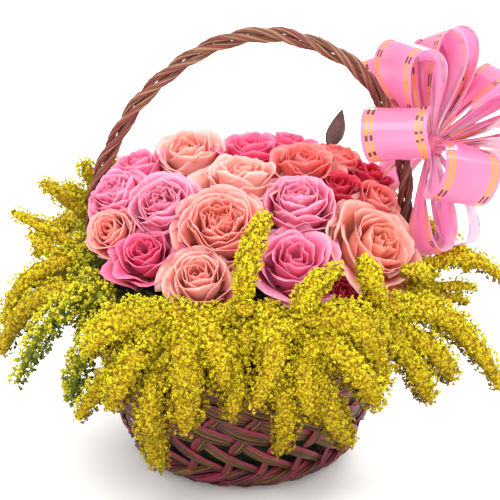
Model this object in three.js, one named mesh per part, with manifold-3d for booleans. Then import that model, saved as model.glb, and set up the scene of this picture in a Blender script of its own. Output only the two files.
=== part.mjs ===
// A flower basket: a round woven basket with a twisted hoop handle, filled with roses
// and goldenrod that stand in wet foam, and a pulled ribbon bow tied to the handle.
// Millimetres, +Z up. The origin is the middle of the basket's flat underside.
// The front of the arrangement faces -Y, and the bow is on the +X side.

import * as THREE from 'three';
import { mergeVertices } from 'three/addons/utils/BufferGeometryUtils.js';
import Module from 'manifold-3d';

const wasm = await Module();
wasm.setup();

// ---------- driving dimensions ----------

const GAP = 0.4;                 // clearance between neighbouring pieces

const FOOT_RADIUS = 81;          // outside of the foot braid where it stands
const FOOT_WIDTH = 8;            // how wide the braid is where it stands
const FOOT_TOP = 24;             // height at which the wall starts
const FLOOR_THICKNESS = 4;
const WALL_THICKNESS = 3;
const RIM_RADIUS = 129;          // middle of the rim border
const RIM_HEIGHT = 137;
const RIM_THICKNESS = 10.5;

const CANE_RADIUS = 2.8;         // one of the handle's three bundles
const TWIST_RADIUS = 4;          // from the handle's middle line to a bundle's middle
const TWIST_TURNS = 8.5;         // turns of the twist from end to end

// Outside of the liner and of the foam that fills it: [radius, height].
const LINER_THICKNESS = 1.5;
const LINER_PROFILE = [[68, FLOOR_THICKNESS + GAP], [84, 40], [94, 90], [100, 130]];
const FOAM_FOOT = FLOOR_THICKNESS + LINER_THICKNESS + 2 * GAP;
const FOAM_TOP = 138;
const FOAM_PROFILE = [[65, FOAM_FOOT], [81, 42], [90, 90], [95, 132], [90, FOAM_TOP]];
const FOAM_DEPTH = 42;           // how deep a stem is pushed into the foam

const ROSE_STEM = 2.6;           // stem radii
const SPRAY_STEM = 1.9;
const LEAF_STEM = 1.4;

const RIBBON_WIDTH = 50;
const RIBBON_THICKNESS = 1;

const BOW_CORE = 10;             // radius of the bow's gathered middle
const GATHERED_WIDTH = 0.14;     // share of its width that the ribbon keeps at the middle
const GATHERED_LENGTH = 0.36;    // share of a loop's length from there to its full width

const TIE_CENTRE = [125.5, 0, 264];   // where the bow's tie goes round the handle
const TIE_INNER = 7.4;
const TIE_OUTER = 8.6;
const TIE_HEIGHT = 7;
const TIE_TILT = -0.22;               // radians that the handle leans there
const TONGUE_RADIUS = 2.4;            // the tie's end that holds the bow's middle
const TONGUE_DEPTH = 5;               // how far it goes into the bow

// How many sides the round pieces have, and how many steps a bent one has.
const AROUND = 28;
const RIM_SIDES = 8;
const CANE_SIDES = 5;
const CANE_STEPS = 60;
const HEAD_SIDES = 9;
const ROD_SIDES = 5;
const RIBBON_STEPS = 11;

// How far out a stem enters the foam, as a share of the distance at its top.
const ROSE_SPREAD = 0.55;
const SPRAY_SPREAD = 0.66;
const LEAF_SPREAD = 0.5;
const STEM_LEAN = 0.86;          // and its cut end's, as a share of its mouth's

// Outside of the foot braid: [radius, height], round from its inner lower corner.
const FOOT_SECTION = [
  [FOOT_RADIUS - FOOT_WIDTH, 0], [FOOT_RADIUS, 0], [86, 5], [94, 14],
  [98, FOOT_TOP - GAP], [92, FOOT_TOP - GAP], [82, 11], [FOOT_RADIUS - FOOT_WIDTH, 5],
];

// Outside of the basket wall: [radius, height], from the foot up to the rim.
const WALL_PROFILE = [[98, FOOT_TOP], [104, 36], [110, 55], [117, 85], [124, 112], [128, 131]];

// The handle's middle line in the plane y = 0: [x, z], from the left end to the right end.
const HANDLE_LINE = [
  [-102, 72], [-110, 105], [-116.5, 137], [-121.5, 172], [-121, 205], [-115, 238], [-104, 264],
  [-84, 297], [-60, 321], [-33, 340], [-4, 351], [25, 353.5], [54, 347], [84, 332], [105, 309],
  [120, 281], [129, 251], [132, 215], [129, 175], [117.5, 137], [110, 105], [102, 72],
];

// The middle of the dome that the rose heads stand on. A head faces away from it.
const DOME_MIDDLE = [5, 0, 130];

// The coral roses, by number. The others are pink.
const CORAL_ROSES = [1, 4, 5, 8, 9, 14, 15, 17, 19, 22, 24, 25, 27, 30, 32];

// Roses: the middle of each head [x, y, z], the head's width, and for a head that leans
// away from the basket's middle, the way that it faces.
const ROSES = [
  { at: [-43, 28, 242], width: 54 },
  { at: [5, 24, 248], width: 50 },
  { at: [38, 54, 242], width: 46 },
  { at: [49, 0, 243], width: 48 },
  { at: [76, 32, 237], width: 44 },
  { at: [104, 12, 229], width: 38, faces: [0.6, 0, 0.8] },
  { at: [76, -22, 232], width: 38 },
  { at: [106, -24, 224], width: 36, faces: [0.6, -0.3, 0.75] },
  { at: [0, -22, 238], width: 54, faces: [0, -0.45, 0.9] },
  { at: [43, -48, 228], width: 52 },
  { at: [-84, 16, 237], width: 46 },
  { at: [-98, -20, 226], width: 44 },
  { at: [-61, -42, 224], width: 52 },
  { at: [-17, -70, 217], width: 62, faces: [-0.05, -0.66, 0.75] },
  { at: [-101, -50, 207], width: 38 },
  { at: [-74, -74, 196], width: 46 },
  { at: [-32, -104, 187], width: 52, faces: [-0.1, -0.75, 0.66] },
  { at: [39, -92, 196], width: 60, faces: [0.12, -0.7, 0.7] },
  { at: [101, -60, 197], width: 64, faces: [0.62, -0.58, 0.52] },
  { at: [76, -90, 172], width: 34 },
  { at: [-46, 70, 230], width: 50 },
  { at: [0, 74, 233], width: 50 },
  { at: [82, 72, 214], width: 48 },
  { at: [-92, 56, 208], width: 46 },
  { at: [-58, 104, 196], width: 46 },
  { at: [-12, 112, 202], width: 50 },
  { at: [34, 100, 208], width: 50 },
  { at: [70, 110, 184], width: 46 },
  { at: [-88, 88, 172], width: 42 },
  { at: [-32, 126, 168], width: 42 },
  { at: [20, 130, 170], width: 44 },
  { at: [112, 76, 178], width: 44 },
  { at: [118, 38, 200], width: 42 },
];

// Goldenrod: each spray forks near the rim into plumes. A plume runs from the fork
// through its middle to its tip, and swells to its radius on the way.
const SPRAYS = [
  { fork: [-56, -117, 160], plumes: [
    { middle: [-86, -136, 170], tip: [-113, -140, 146], radius: 15 },
    { middle: [-80, -148, 142], tip: [-97, -147, 104], radius: 13 },
    { middle: [-92, -131, 132], tip: [-124, -130, 87], radius: 10 },
    { middle: [-67, -146, 108], tip: [-62, -136, 49], radius: 13 },
  ] },
  { fork: [-42, -119, 163], plumes: [
    { middle: [-40, -150, 142], tip: [-42, -151, 90], radius: 18 },
    { middle: [-20, -150, 158], tip: [-14, -157, 126], radius: 13 },
    { middle: [-9, -147, 140], tip: [-9, -146, 96], radius: 13 },
  ] },
  { fork: [2, -121, 164], plumes: [
    { middle: [24, -148, 156], tip: [10, -152, 108], radius: 14 },
    { middle: [30, -150, 116], tip: [28, -139, 64], radius: 11 },
    { middle: [4, -136, 212], tip: [18, -119, 247], radius: 9 },
  ] },
  { fork: [45, -124, 158], plumes: [
    { middle: [84, -142, 169], tip: [105, -139, 120], radius: 16 },
    { middle: [80, -149, 143], tip: [100, -141, 103], radius: 15 },
    { middle: [60, -149, 114], tip: [80, -134, 69], radius: 13 },
    { middle: [46, -152, 126], tip: [55, -147, 96], radius: 12 },
    { middle: [47, -139, 190], tip: [72, -135, 211], radius: 9 },
  ] },
  { fork: [103, -98, 155], plumes: [
    { middle: [152, -97, 157], tip: [203, -85, 91], radius: 12 },
    { middle: [143, -107, 135], tip: [160, -101, 105], radius: 11 },
    { middle: [129, -114, 124], tip: [144, -106, 91], radius: 11 },
    { middle: [97, -122, 190], tip: [88, -121, 212], radius: 9 },
  ] },
  { fork: [129, -48, 160], plumes: [
    { middle: [168, -47, 186], tip: [209, -36, 162], radius: 11 },
    { middle: [166, -42, 160], tip: [186, -36, 156], radius: 7 },
    { middle: [163, -26, 146], tip: [185, -20, 137], radius: 6 },
    { middle: [137, -78, 184], tip: [120, -98, 193], radius: 9 },
  ] },
  { fork: [-117, -24, 172], plumes: [
    { middle: [-149, -22, 196], tip: [-185, -15, 213], radius: 10 },
    { middle: [-149, -36, 186], tip: [-169, -31, 200], radius: 9 },
    { middle: [-160, -52, 176], tip: [-191, -50, 132], radius: 12 },
  ] },
  { fork: [-112, 30, 182], plumes: [
    { middle: [-141, 8, 214], tip: [-162, 5, 233], radius: 10 },
    { middle: [-134, 24, 215], tip: [-150, 22, 220], radius: 9 },
    { middle: [-125, 34, 222], tip: [-132, 34, 240], radius: 10 },
    { middle: [-112, 40, 222], tip: [-108, 40, 242], radius: 9 },
  ] },
  { fork: [-107, -70, 162], plumes: [
    { middle: [-159, -66, 158], tip: [-192, -60, 109], radius: 12 },
    { middle: [-140, -97, 160], tip: [-175, -95, 100], radius: 12 },
    { middle: [-120, -112, 134], tip: [-132, -106, 90], radius: 10 },
  ] },
  { fork: [118, 52, 160], plumes: [
    { middle: [160, 48, 176], tip: [192, 42, 140], radius: 12 },
    { middle: [144, 84, 158], tip: [164, 102, 112], radius: 12 },
    { middle: [150, 20, 140], tip: [166, 14, 98], radius: 11 },
  ] },
  { fork: [66, 120, 154], plumes: [
    { middle: [96, 142, 156], tip: [118, 152, 106], radius: 13 },
    { middle: [66, 152, 142], tip: [64, 160, 88], radius: 13 },
    { middle: [112, 118, 166], tip: [140, 130, 138], radius: 11 },
  ] },
  { fork: [-6, 137, 152], plumes: [
    { middle: [28, 158, 154], tip: [34, 166, 104], radius: 13 },
    { middle: [-4, 160, 138], tip: [-8, 158, 82], radius: 13 },
    { middle: [-28, 154, 160], tip: [-46, 166, 126], radius: 12 },
  ] },
  { fork: [-62, 116, 160], plumes: [
    { middle: [-74, 150, 152], tip: [-84, 160, 104], radius: 13 },
    { middle: [-104, 132, 160], tip: [-130, 138, 116], radius: 12 },
    { middle: [-52, 156, 126], tip: [-48, 154, 78], radius: 12 },
  ] },
  { fork: [-112, 66, 162], plumes: [
    { middle: [-150, 74, 174], tip: [-182, 80, 140], radius: 12 },
    { middle: [-140, 96, 140], tip: [-160, 104, 94], radius: 12 },
    { middle: [-152, 34, 150], tip: [-180, 30, 106], radius: 12 },
  ] },
];

// How a plume swells: shares of its radius, at even steps from the fork to the tip.
const PLUME_SWELL = [0.3, 0.75, 1, 0.75, 0.3];

// Dark leaves: the leaf's foot, its tip, and the way that its blade faces.
const LEAVES = [
  { foot: [73, 58, 246], tip: [82, 60, 279], faces: [0.5, -0.86, 0.1], width: 18 },
  { foot: [55, -66, 204], tip: [70, -74, 221], faces: [0.1, -0.7, 0.7], width: 14 },
];

// The bow: its gathered middle, and each loop's far end from there, with the line that
// the ribbon's width lies along and how far the loop's two sides stand apart.
const BOW_MIDDLE = [149, -16, 269];
const BOW_LOOPS = [
  { end: [-35, -44, 25], across: [0.99, -0.15, 0.06], open: 38 },
  { end: [-25, -7, 81], across: [0.48, -0.87, 0.02], open: 36 },
  { end: [-33, 39, 64], across: [0.84, -0.42, 0.35], open: 24 },
  { end: [5, 28, 82], across: [0.41, -0.84, 0.37], open: 28 },
  { end: [10, 49, 71], across: [0.76, 0.61, -0.22], open: 22 },
  { end: [24, 42, 81], across: [0.06, -0.92, 0.4], open: 32 },
  { end: [62, 21, 56], across: [-0.28, 0.96, -0.01], open: 18 },
  { end: [65, 9, 32], across: [0, -0.89, 0.45], open: 17 },
  { end: [66, 1, 15], across: [0, -0.88, 0.47], open: 14 },
  { end: [64, -7, -3], across: [0, -0.89, 0.45], open: 10 },
  { end: [23, -52, -19], across: [0.9, 0.36, -0.24], open: 44 },
  { end: [0, -39, -77], across: [0.24, -0.88, 0.41], open: 23 },
  { end: [28, -17, -77], across: [-0.33, -0.89, 0.32], open: 26 },
  { end: [-34, 56, -38], across: [0.35, 0.6, 0.72], open: 16 },
];

// ---------- solids ----------

// A closed geometry as a solid that can be cut and joined.
function solidOf(geometry) {
  geometry.deleteAttribute('normal');
  geometry.deleteAttribute('uv');
  const merged = mergeVertices(geometry, 1e-4);
  const mesh = new wasm.Mesh({
    numProp: 3,
    vertProperties: new Float32Array(merged.attributes.position.array),
    triVerts: new Uint32Array(merged.index.array),
  });
  return new wasm.Manifold(mesh);
}

function geometryOf(solid) {
  const mesh = solid.getMesh();
  const geometry = new THREE.BufferGeometry();
  geometry.setAttribute('position', new THREE.BufferAttribute(mesh.vertProperties, 3));
  geometry.setIndex(new THREE.BufferAttribute(mesh.triVerts, 1));
  geometry.computeVertexNormals();
  return geometry;
}

const joined = (solids) => solids.reduce((whole, next) => whole.add(next));

const vector = (list) => new THREE.Vector3(...list);

// The smooth curve from start to end that passes through middle half way.
function curveThrough(start, middle, end) {
  const control = middle.clone().multiplyScalar(2)
    .addScaledVector(start, -0.5)
    .addScaledVector(end, -0.5);
  return new THREE.QuadraticBezierCurve3(start, control, end);
}

// Bends a shape that stands along Y, from y = 0 to y = 1, onto a curve.
// `side` is a direction across the curve that the shape's X axis follows.
function bendAlong(geometry, curve, side) {
  const position = geometry.attributes.position;
  for (let i = 0; i < position.count; i += 1) {
    const t = THREE.MathUtils.clamp(position.getY(i), 0, 1);
    const tangent = curve.getTangent(t);
    const first = side.clone().addScaledVector(tangent, -side.dot(tangent)).normalize();
    const second = new THREE.Vector3().crossVectors(first, tangent);
    const point = curve.getPoint(t)
      .addScaledVector(first, position.getX(i))
      .addScaledVector(second, position.getZ(i));
    position.setXYZ(i, point.x, point.y, point.z);
  }
  return geometry;
}

// A direction square to a curve's bend, so that a shape on it doesn't twist.
function sideOf(start, middle, end) {
  const side = new THREE.Vector3().crossVectors(middle.clone().sub(start), end.clone().sub(start));
  return side.lengthSq() > 1 ? side.normalize() : new THREE.Vector3(0.6, 0.8, 0);
}

// A round rod along a curve, with a radius at each of its stations.
function rod(start, middle, end, radii) {
  const stations = radii.length - 1;
  const profile = [
    new THREE.Vector2(0, 0),
    ...radii.map((radius, i) => new THREE.Vector2(radius, i / stations)),
    new THREE.Vector2(0, 1),
  ];
  const geometry = new THREE.LatheGeometry(profile, ROD_SIDES);
  return solidOf(bendAlong(geometry, curveThrough(start, middle, end), sideOf(start, middle, end)));
}

// A ring of revolution about Z from its section's corners: [radius, height].
function ring(corners) {
  const profile = corners.map(([radius, height]) => new THREE.Vector2(radius, height));
  const geometry = new THREE.LatheGeometry(profile, AROUND);
  geometry.rotateX(Math.PI / 2);
  return solidOf(geometry);
}

// ---------- basket ----------

const wallInner = WALL_PROFILE.map(([radius, height]) => [radius - WALL_THICKNESS, height]);

function basketFloor() {
  const radius = FOOT_RADIUS - FOOT_WIDTH - GAP;
  return ring([[0, 0], [radius, 0], [radius, FLOOR_THICKNESS], [0, FLOOR_THICKNESS]]);
}

function footBraid() {
  return ring([...FOOT_SECTION, FOOT_SECTION[0]]);
}

function basketWall() {
  return ring([...WALL_PROFILE, ...wallInner.toReversed(), WALL_PROFILE[0]]);
}

function rimBorder() {
  const corners = [];
  for (let i = 0; i <= RIM_SIDES; i += 1) {
    const angle = (i % RIM_SIDES) / RIM_SIDES * 2 * Math.PI;
    corners.push([
      RIM_RADIUS + RIM_THICKNESS / 2 * Math.cos(angle),
      RIM_HEIGHT + RIM_THICKNESS / 2 * Math.sin(angle),
    ]);
  }
  return ring(corners);
}

// One of the handle's bundles: a helix round the handle's middle line.
class TwistedCane extends THREE.Curve {
  constructor(phase) {
    super();
    this.phase = phase;
    this.line = new THREE.CatmullRomCurve3(HANDLE_LINE.map(([x, z]) => new THREE.Vector3(x, 0, z)));
  }

  getPoint(t, target = new THREE.Vector3()) {
    const along = this.line.getTangentAt(t);
    const depth = new THREE.Vector3(0, 1, 0);
    const outwards = new THREE.Vector3().crossVectors(depth, along);
    const angle = 2 * Math.PI * TWIST_TURNS * t + this.phase;
    return target.copy(this.line.getPointAt(t))
      .addScaledVector(outwards, TWIST_RADIUS * Math.cos(angle))
      .addScaledVector(depth, TWIST_RADIUS * Math.sin(angle));
  }
}

function handleCane(index, radius) {
  const section = new THREE.Shape();
  for (let i = 0; i < CANE_SIDES; i += 1) {
    const angle = i / CANE_SIDES * 2 * Math.PI;
    const corner = [radius * Math.cos(angle), radius * Math.sin(angle)];
    if (i === 0) section.moveTo(...corner); else section.lineTo(...corner);
  }
  const path = new TwistedCane(index / 3 * 2 * Math.PI);
  return solidOf(new THREE.ExtrudeGeometry(section, { steps: CANE_STEPS, extrudePath: path }));
}

// ---------- what is inside ----------

function liner() {
  const foot = LINER_PROFILE[0][1];
  const inner = LINER_PROFILE.map(([radius, height], index) => {
    const raised = index === LINER_PROFILE.length - 1 ? 0 : LINER_THICKNESS;
    return [radius - LINER_THICKNESS, height + raised];
  });
  return ring([[0, foot], ...LINER_PROFILE, ...inner.toReversed(), [0, foot + LINER_THICKNESS]]);
}

function floralFoam() {
  return ring([[0, FOAM_FOOT], ...FOAM_PROFILE, [0, FOAM_TOP]]);
}

// ---------- flowers ----------

// Where a stem stands in the foam: its hole's mouth and its cut end.
function seat(from, spread) {
  const mouth = new THREE.Vector3(from.x * spread, from.y * spread, FOAM_TOP);
  const foot = new THREE.Vector3(mouth.x * STEM_LEAN, mouth.y * STEM_LEAN, FOAM_TOP - FOAM_DEPTH);
  return { mouth, foot };
}

// A stem from `from` down into the foam. Its hole in the foam is the same rod, grown.
function stem(from, spread, radius) {
  const { mouth, foot } = seat(from, spread);
  return rod(from, mouth, foot, [radius, radius, radius]);
}

// The outside of a rose head of width 1 as a profile: [radius, height above its middle].
const ROSE_PROFILE = [[0, -0.46], [0.3, -0.34], [0.48, -0.04], [0.5, 0.17], [0.37, 0.35], [0, 0.4]];
const ROSE_NECK = -0.4;          // height at which its stem starts

function roseFacing(rose) {
  if (rose.faces) return vector(rose.faces).normalize();
  return vector(rose.at).sub(vector(DOME_MIDDLE)).normalize();
}

function rose(spec, grow) {
  const size = spec.width;
  const profile = ROSE_PROFILE.map(([radius, height]) => {
    const stretch = 1 + 2 * grow / size;
    return new THREE.Vector2(radius * size * stretch, height * size * stretch);
  });
  const head = new THREE.LatheGeometry(profile, HEAD_SIDES);
  const facing = roseFacing(spec);
  head.applyQuaternion(new THREE.Quaternion().setFromUnitVectors(new THREE.Vector3(0, 1, 0), facing));
  head.translate(...spec.at);
  const neck = vector(spec.at).addScaledVector(facing, ROSE_NECK * size);
  return joined([solidOf(head), stem(neck, ROSE_SPREAD, ROSE_STEM + grow)]);
}

function spray(spec, grow) {
  const fork = vector(spec.fork);
  const parts = [stem(fork, SPRAY_SPREAD, SPRAY_STEM + grow)];
  for (const plume of spec.plumes) {
    const radii = PLUME_SWELL.map((share) => share * plume.radius + grow);
    parts.push(rod(fork, vector(plume.middle), vector(plume.tip), radii));
  }
  return joined(parts);
}

// A leaf's blade bulges to its full width a fifth of the way up and tapers to its tip.
function leafSprig(spec, grow) {
  const foot = vector(spec.foot);
  const tip = vector(spec.tip);
  const long = tip.distanceTo(foot);
  const half = spec.width / 2 + grow;
  const outline = new THREE.Shape();
  outline.moveTo(0, -2);
  outline.bezierCurveTo(half * 1.3, long * 0.2, half, long * 0.7, 0, long);
  outline.bezierCurveTo(-half, long * 0.7, -half * 1.3, long * 0.2, 0, -2);
  const thickness = 1 + 2 * grow;
  const blade = new THREE.ExtrudeGeometry(outline, { depth: thickness, bevelEnabled: false, curveSegments: 5 });
  blade.translate(0, 0, -thickness / 2);
  const up = tip.clone().sub(foot).normalize();
  const out = vector(spec.faces).addScaledVector(up, -vector(spec.faces).dot(up)).normalize();
  const across = new THREE.Vector3().crossVectors(up, out);
  blade.applyMatrix4(new THREE.Matrix4().makeBasis(across, up, out));
  blade.translate(...spec.foot);
  return joined([solidOf(blade), stem(foot, LEAF_SPREAD, LEAF_STEM + grow)]);
}

// ---------- bow ----------

// One loop of ribbon: out from the gathered middle, round, and back.
class RibbonLoop extends THREE.Curve {
  constructor(loop) {
    super();
    this.out = vector(loop.end);
    this.across = vector(loop.across).normalize();
    this.rise = new THREE.Vector3().crossVectors(this.across, this.out).setLength(loop.open / 2);
  }

  getPoint(t, target = new THREE.Vector3()) {
    const inside = 0.7 * BOW_CORE / this.out.length() / Math.PI;
    const angle = Math.PI * THREE.MathUtils.lerp(inside, 1 - inside, t);
    return target.copy(vector(BOW_MIDDLE))
      .addScaledVector(this.out, Math.sin(angle))
      .addScaledVector(this.rise, Math.sin(2 * angle));
  }
}

function ribbonLoop(loop, grow) {
  const strip = new THREE.BoxGeometry(RIBBON_WIDTH + 2 * grow, 1, RIBBON_THICKNESS + 2 * grow, 1, RIBBON_STEPS, 1);
  strip.translate(0, 0.5, 0);
  const position = strip.attributes.position;
  for (let i = 0; i < position.count; i += 1) {
    const fromEnd = Math.min(position.getY(i), 1 - position.getY(i));
    const spread = THREE.MathUtils.smoothstep(fromEnd, 0, GATHERED_LENGTH);
    position.setX(i, position.getX(i) * THREE.MathUtils.lerp(GATHERED_WIDTH, 1, spread));
  }
  return solidOf(bendAlong(strip, new RibbonLoop(loop), vector(loop.across).normalize()));
}

function bowRibbon(grow) {
  const core = new THREE.IcosahedronGeometry(BOW_CORE + grow, 1);
  core.translate(...BOW_MIDDLE);
  return joined([solidOf(core), ...BOW_LOOPS.map((loop) => ribbonLoop(loop, grow))]);
}

// The band round the handle, with a tongue that reaches the bow's gathered middle.
function bowTie(grow) {
  const middle = vector(BOW_MIDDLE);
  const handle = vector(TIE_CENTRE);
  const band = new THREE.Shape();
  band.absarc(0, 0, TIE_OUTER + grow, 0, 2 * Math.PI);
  const hole = new THREE.Path();
  hole.absarc(0, 0, TIE_INNER - grow, 0, 2 * Math.PI, true);
  band.holes.push(hole);
  const height = TIE_HEIGHT + 2 * grow;
  const loop = new THREE.ExtrudeGeometry(band, { depth: height, bevelEnabled: false, curveSegments: 8 });
  loop.translate(0, 0, -height / 2);
  loop.rotateY(TIE_TILT);
  loop.translate(...TIE_CENTRE);
  const reach = middle.clone().sub(handle).normalize();
  const start = handle.clone().addScaledVector(reach, (TIE_INNER + TIE_OUTER) / 2);
  const end = middle.clone().addScaledVector(reach, -TONGUE_DEPTH);
  const half = start.clone().lerp(end, 0.5);
  const radius = TONGUE_RADIUS + grow;
  return joined([solidOf(loop), rod(start, half, end, [radius, radius])]);
}

// ---------- assembly ----------

const colours = {
  wicker: 0x8c5548, cane: 0xa4605a, liner: 0x2f3b2a, foam: 0x3f6b3a, coral: 0xf08478, pink: 0xf07fa5,
  goldenrod: 0xe0c81e, leaf: 0x5e4941, ribbon: 0xffa2d7,
};

const basket = new THREE.Group();

// Adds a piece to the basket, less the room that the pieces before it take up.
// A grown copy of each piece is kept for that, so that neighbours never touch.
const taken = [];

function overlaps(a, b) {
  const [p, q] = [a.boundingBox(), b.boundingBox()];
  return [0, 1, 2].every((axis) => p.min[axis] < q.max[axis] && q.min[axis] < p.max[axis]);
}

function addPiece(name, build, colour, roughness = 0.8, cut = true) {
  let solid = build(0);
  for (const other of cut ? taken : []) {
    if (overlaps(solid, other)) solid = solid.subtract(other);
  }
  const bodies = solid.decompose().sort((a, b) => b.volume() - a.volume());
  taken.push(build(GAP));
  const mesh = new THREE.Mesh(
    geometryOf(bodies[0]),
    new THREE.MeshStandardMaterial({ color: colour, roughness, metalness: 0 }),
  );
  mesh.name = name;
  basket.add(mesh);
}

const numbered = (name, index) => `${name}_${String(index + 1).padStart(2, '0')}`;

// The foam comes last, so that every stem keeps a hole of its own in it.
addPiece('basket_floor', basketFloor, colours.wicker);
addPiece('basket_foot', footBraid, colours.wicker);
addPiece('basket_wall', basketWall, colours.wicker);
addPiece('basket_rim', rimBorder, colours.wicker);
['a', 'b', 'c'].forEach((letter, index) => {
  addPiece(`handle_cane_${letter}`, (grow) => handleCane(index, CANE_RADIUS + grow), colours.cane, 0.6, false);
});
addPiece('liner', liner, colours.liner, 0.4);
addPiece('bow_tie', bowTie, colours.ribbon, 0.5);
addPiece('bow_ribbon', bowRibbon, colours.ribbon, 0.4);
ROSES.forEach((spec, index) => {
  const colour = CORAL_ROSES.includes(index + 1) ? colours.coral : colours.pink;
  addPiece(numbered('rose', index), (grow) => rose(spec, grow), colour, 0.6);
});
LEAVES.forEach((spec, index) => {
  addPiece(numbered('leaf_sprig', index), (grow) => leafSprig(spec, grow), colours.leaf, 0.6);
});
SPRAYS.forEach((spec, index) => {
  addPiece(numbered('goldenrod', index), (grow) => spray(spec, grow), colours.goldenrod, 0.9);
});
addPiece('floral_foam', floralFoam, colours.foam, 0.95);

export default basket;
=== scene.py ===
import math

import bpy
import numpy as np
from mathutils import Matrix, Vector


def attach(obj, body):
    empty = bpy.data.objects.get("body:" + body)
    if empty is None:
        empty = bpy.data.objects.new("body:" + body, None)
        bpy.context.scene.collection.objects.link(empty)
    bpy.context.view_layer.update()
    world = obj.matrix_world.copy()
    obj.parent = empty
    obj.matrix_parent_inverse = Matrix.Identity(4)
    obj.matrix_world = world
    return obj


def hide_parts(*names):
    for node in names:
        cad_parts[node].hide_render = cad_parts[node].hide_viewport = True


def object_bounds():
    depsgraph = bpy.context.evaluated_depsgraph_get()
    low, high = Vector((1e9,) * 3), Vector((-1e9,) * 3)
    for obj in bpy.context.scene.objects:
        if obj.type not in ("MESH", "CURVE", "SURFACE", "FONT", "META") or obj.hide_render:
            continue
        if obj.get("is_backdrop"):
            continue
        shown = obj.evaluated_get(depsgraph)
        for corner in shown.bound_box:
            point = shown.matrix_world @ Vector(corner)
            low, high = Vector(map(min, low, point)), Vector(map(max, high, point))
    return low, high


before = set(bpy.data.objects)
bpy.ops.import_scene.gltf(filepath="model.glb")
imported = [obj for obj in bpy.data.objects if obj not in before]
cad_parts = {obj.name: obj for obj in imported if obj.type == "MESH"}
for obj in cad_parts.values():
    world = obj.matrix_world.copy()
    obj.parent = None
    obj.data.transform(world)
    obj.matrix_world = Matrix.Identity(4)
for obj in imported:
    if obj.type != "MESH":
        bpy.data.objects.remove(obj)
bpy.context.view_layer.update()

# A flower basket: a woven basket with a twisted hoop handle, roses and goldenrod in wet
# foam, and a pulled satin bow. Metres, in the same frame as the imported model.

MM = 0.001
UP = np.array([0.0, 0.0, 1.0])


# ---------- camera ----------

# The photo's view: a long lens that looks down on the basket from 1.2 m away.
LOOK_AT = np.array([0.006, 0.0, 0.175])
LOOK_DOWN = math.radians(20)
DISTANCE = 1.2

bpy.ops.object.camera_add()
camera = bpy.context.object
camera.location = LOOK_AT + DISTANCE * np.array([0, -math.cos(LOOK_DOWN), math.sin(LOOK_DOWN)])
camera.rotation_euler = (math.pi / 2 - LOOK_DOWN, 0, 0)
camera.data.sensor_width = 36
camera.data.lens = 105.3
camera.data.clip_end = 30
bpy.context.scene.camera = camera


# ---------- modelling ----------

def vec(*numbers):
    """A point given in millimetres."""
    return np.array(numbers, dtype=float) * MM


def unit(a):
    a = np.asarray(a, dtype=float)
    return a / np.maximum(np.linalg.norm(a, axis=-1, keepdims=True), 1e-12)


def ease(x):
    x = np.clip(x, 0, 1)
    return x * x * (3 - 2 * x)


def taken_from(obj):
    """An object's points and faces, after which the object is put away."""
    mesh = obj.data
    points = np.empty(len(mesh.vertices) * 3)
    mesh.vertices.foreach_get("co", points)
    faces = [list(face.vertices) for face in mesh.polygons]
    bpy.data.objects.remove(obj)
    return points.reshape(-1, 3), faces


def sheet_blank(across, along):
    """A flat sheet from -1 to 1 across and 0 to 1 along, with a front and a back."""
    bpy.ops.object.select_all(action="DESELECT")
    bpy.ops.mesh.primitive_grid_add(x_subdivisions=across, y_subdivisions=along, size=2)
    sheet = bpy.context.object
    thicken = sheet.modifiers.new("thicken", "SOLIDIFY")
    thicken.thickness = 2
    thicken.offset = 0
    bpy.ops.object.modifier_apply(modifier=thicken.name)
    points, faces = taken_from(sheet)
    points[:, 1] = (points[:, 1] + 1) / 2
    return points, faces


def rod_blank(sides, steps):
    """A round rod of radius 1 from 0 to 1 along Z, ringed so that it can be bent."""
    bpy.ops.object.select_all(action="DESELECT")
    bpy.ops.mesh.primitive_cylinder_add(vertices=sides, radius=1, depth=1, location=(0, 0, 0.5))
    rod = bpy.context.object
    bpy.ops.object.transform_apply(location=True)
    if steps > 1:
        bpy.ops.object.mode_set(mode="EDIT")
        bpy.ops.mesh.select_mode(type="EDGE")
        bpy.ops.mesh.select_all(action="DESELECT")
        bpy.ops.object.mode_set(mode="OBJECT")
        for edge in rod.data.edges:
            low, high = (rod.data.vertices[i].co.z for i in edge.vertices)
            edge.select = abs(high - low) > 0.5
        bpy.ops.object.mode_set(mode="EDIT")
        bpy.ops.mesh.subdivide(number_cuts=steps - 1)
        bpy.ops.object.mode_set(mode="OBJECT")
    return taken_from(rod)


def floret_blank():
    """One tiny floret: four short petals round a raised middle, eight faces in all."""
    thick = 0.7
    raised = 0.45
    bpy.ops.object.select_all(action="DESELECT")
    bpy.ops.mesh.primitive_circle_add(vertices=4, radius=1, fill_type="TRIFAN")
    floret = bpy.context.object
    bpy.ops.object.mode_set(mode="EDIT")
    bpy.ops.mesh.select_all(action="SELECT")
    bpy.ops.mesh.extrude_region_move(TRANSFORM_OT_translate={"value": (0, 0, thick)})
    bpy.ops.mesh.select_all(action="DESELECT")
    bpy.ops.object.mode_set(mode="OBJECT")
    for point in floret.data.vertices:
        in_middle = point.co.xy.length < 0.5
        point.co.z = math.copysign(raised, point.co.z - thick / 2) if in_middle else 0
    bpy.ops.object.mode_set(mode="EDIT")
    bpy.ops.mesh.select_all(action="SELECT")
    bpy.ops.mesh.remove_doubles(threshold=0.01)
    bpy.ops.mesh.normals_make_consistent(inside=False)
    bpy.ops.object.mode_set(mode="OBJECT")
    points, faces = taken_from(floret)
    return points, [face for face in faces if len(face) == 3]


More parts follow.
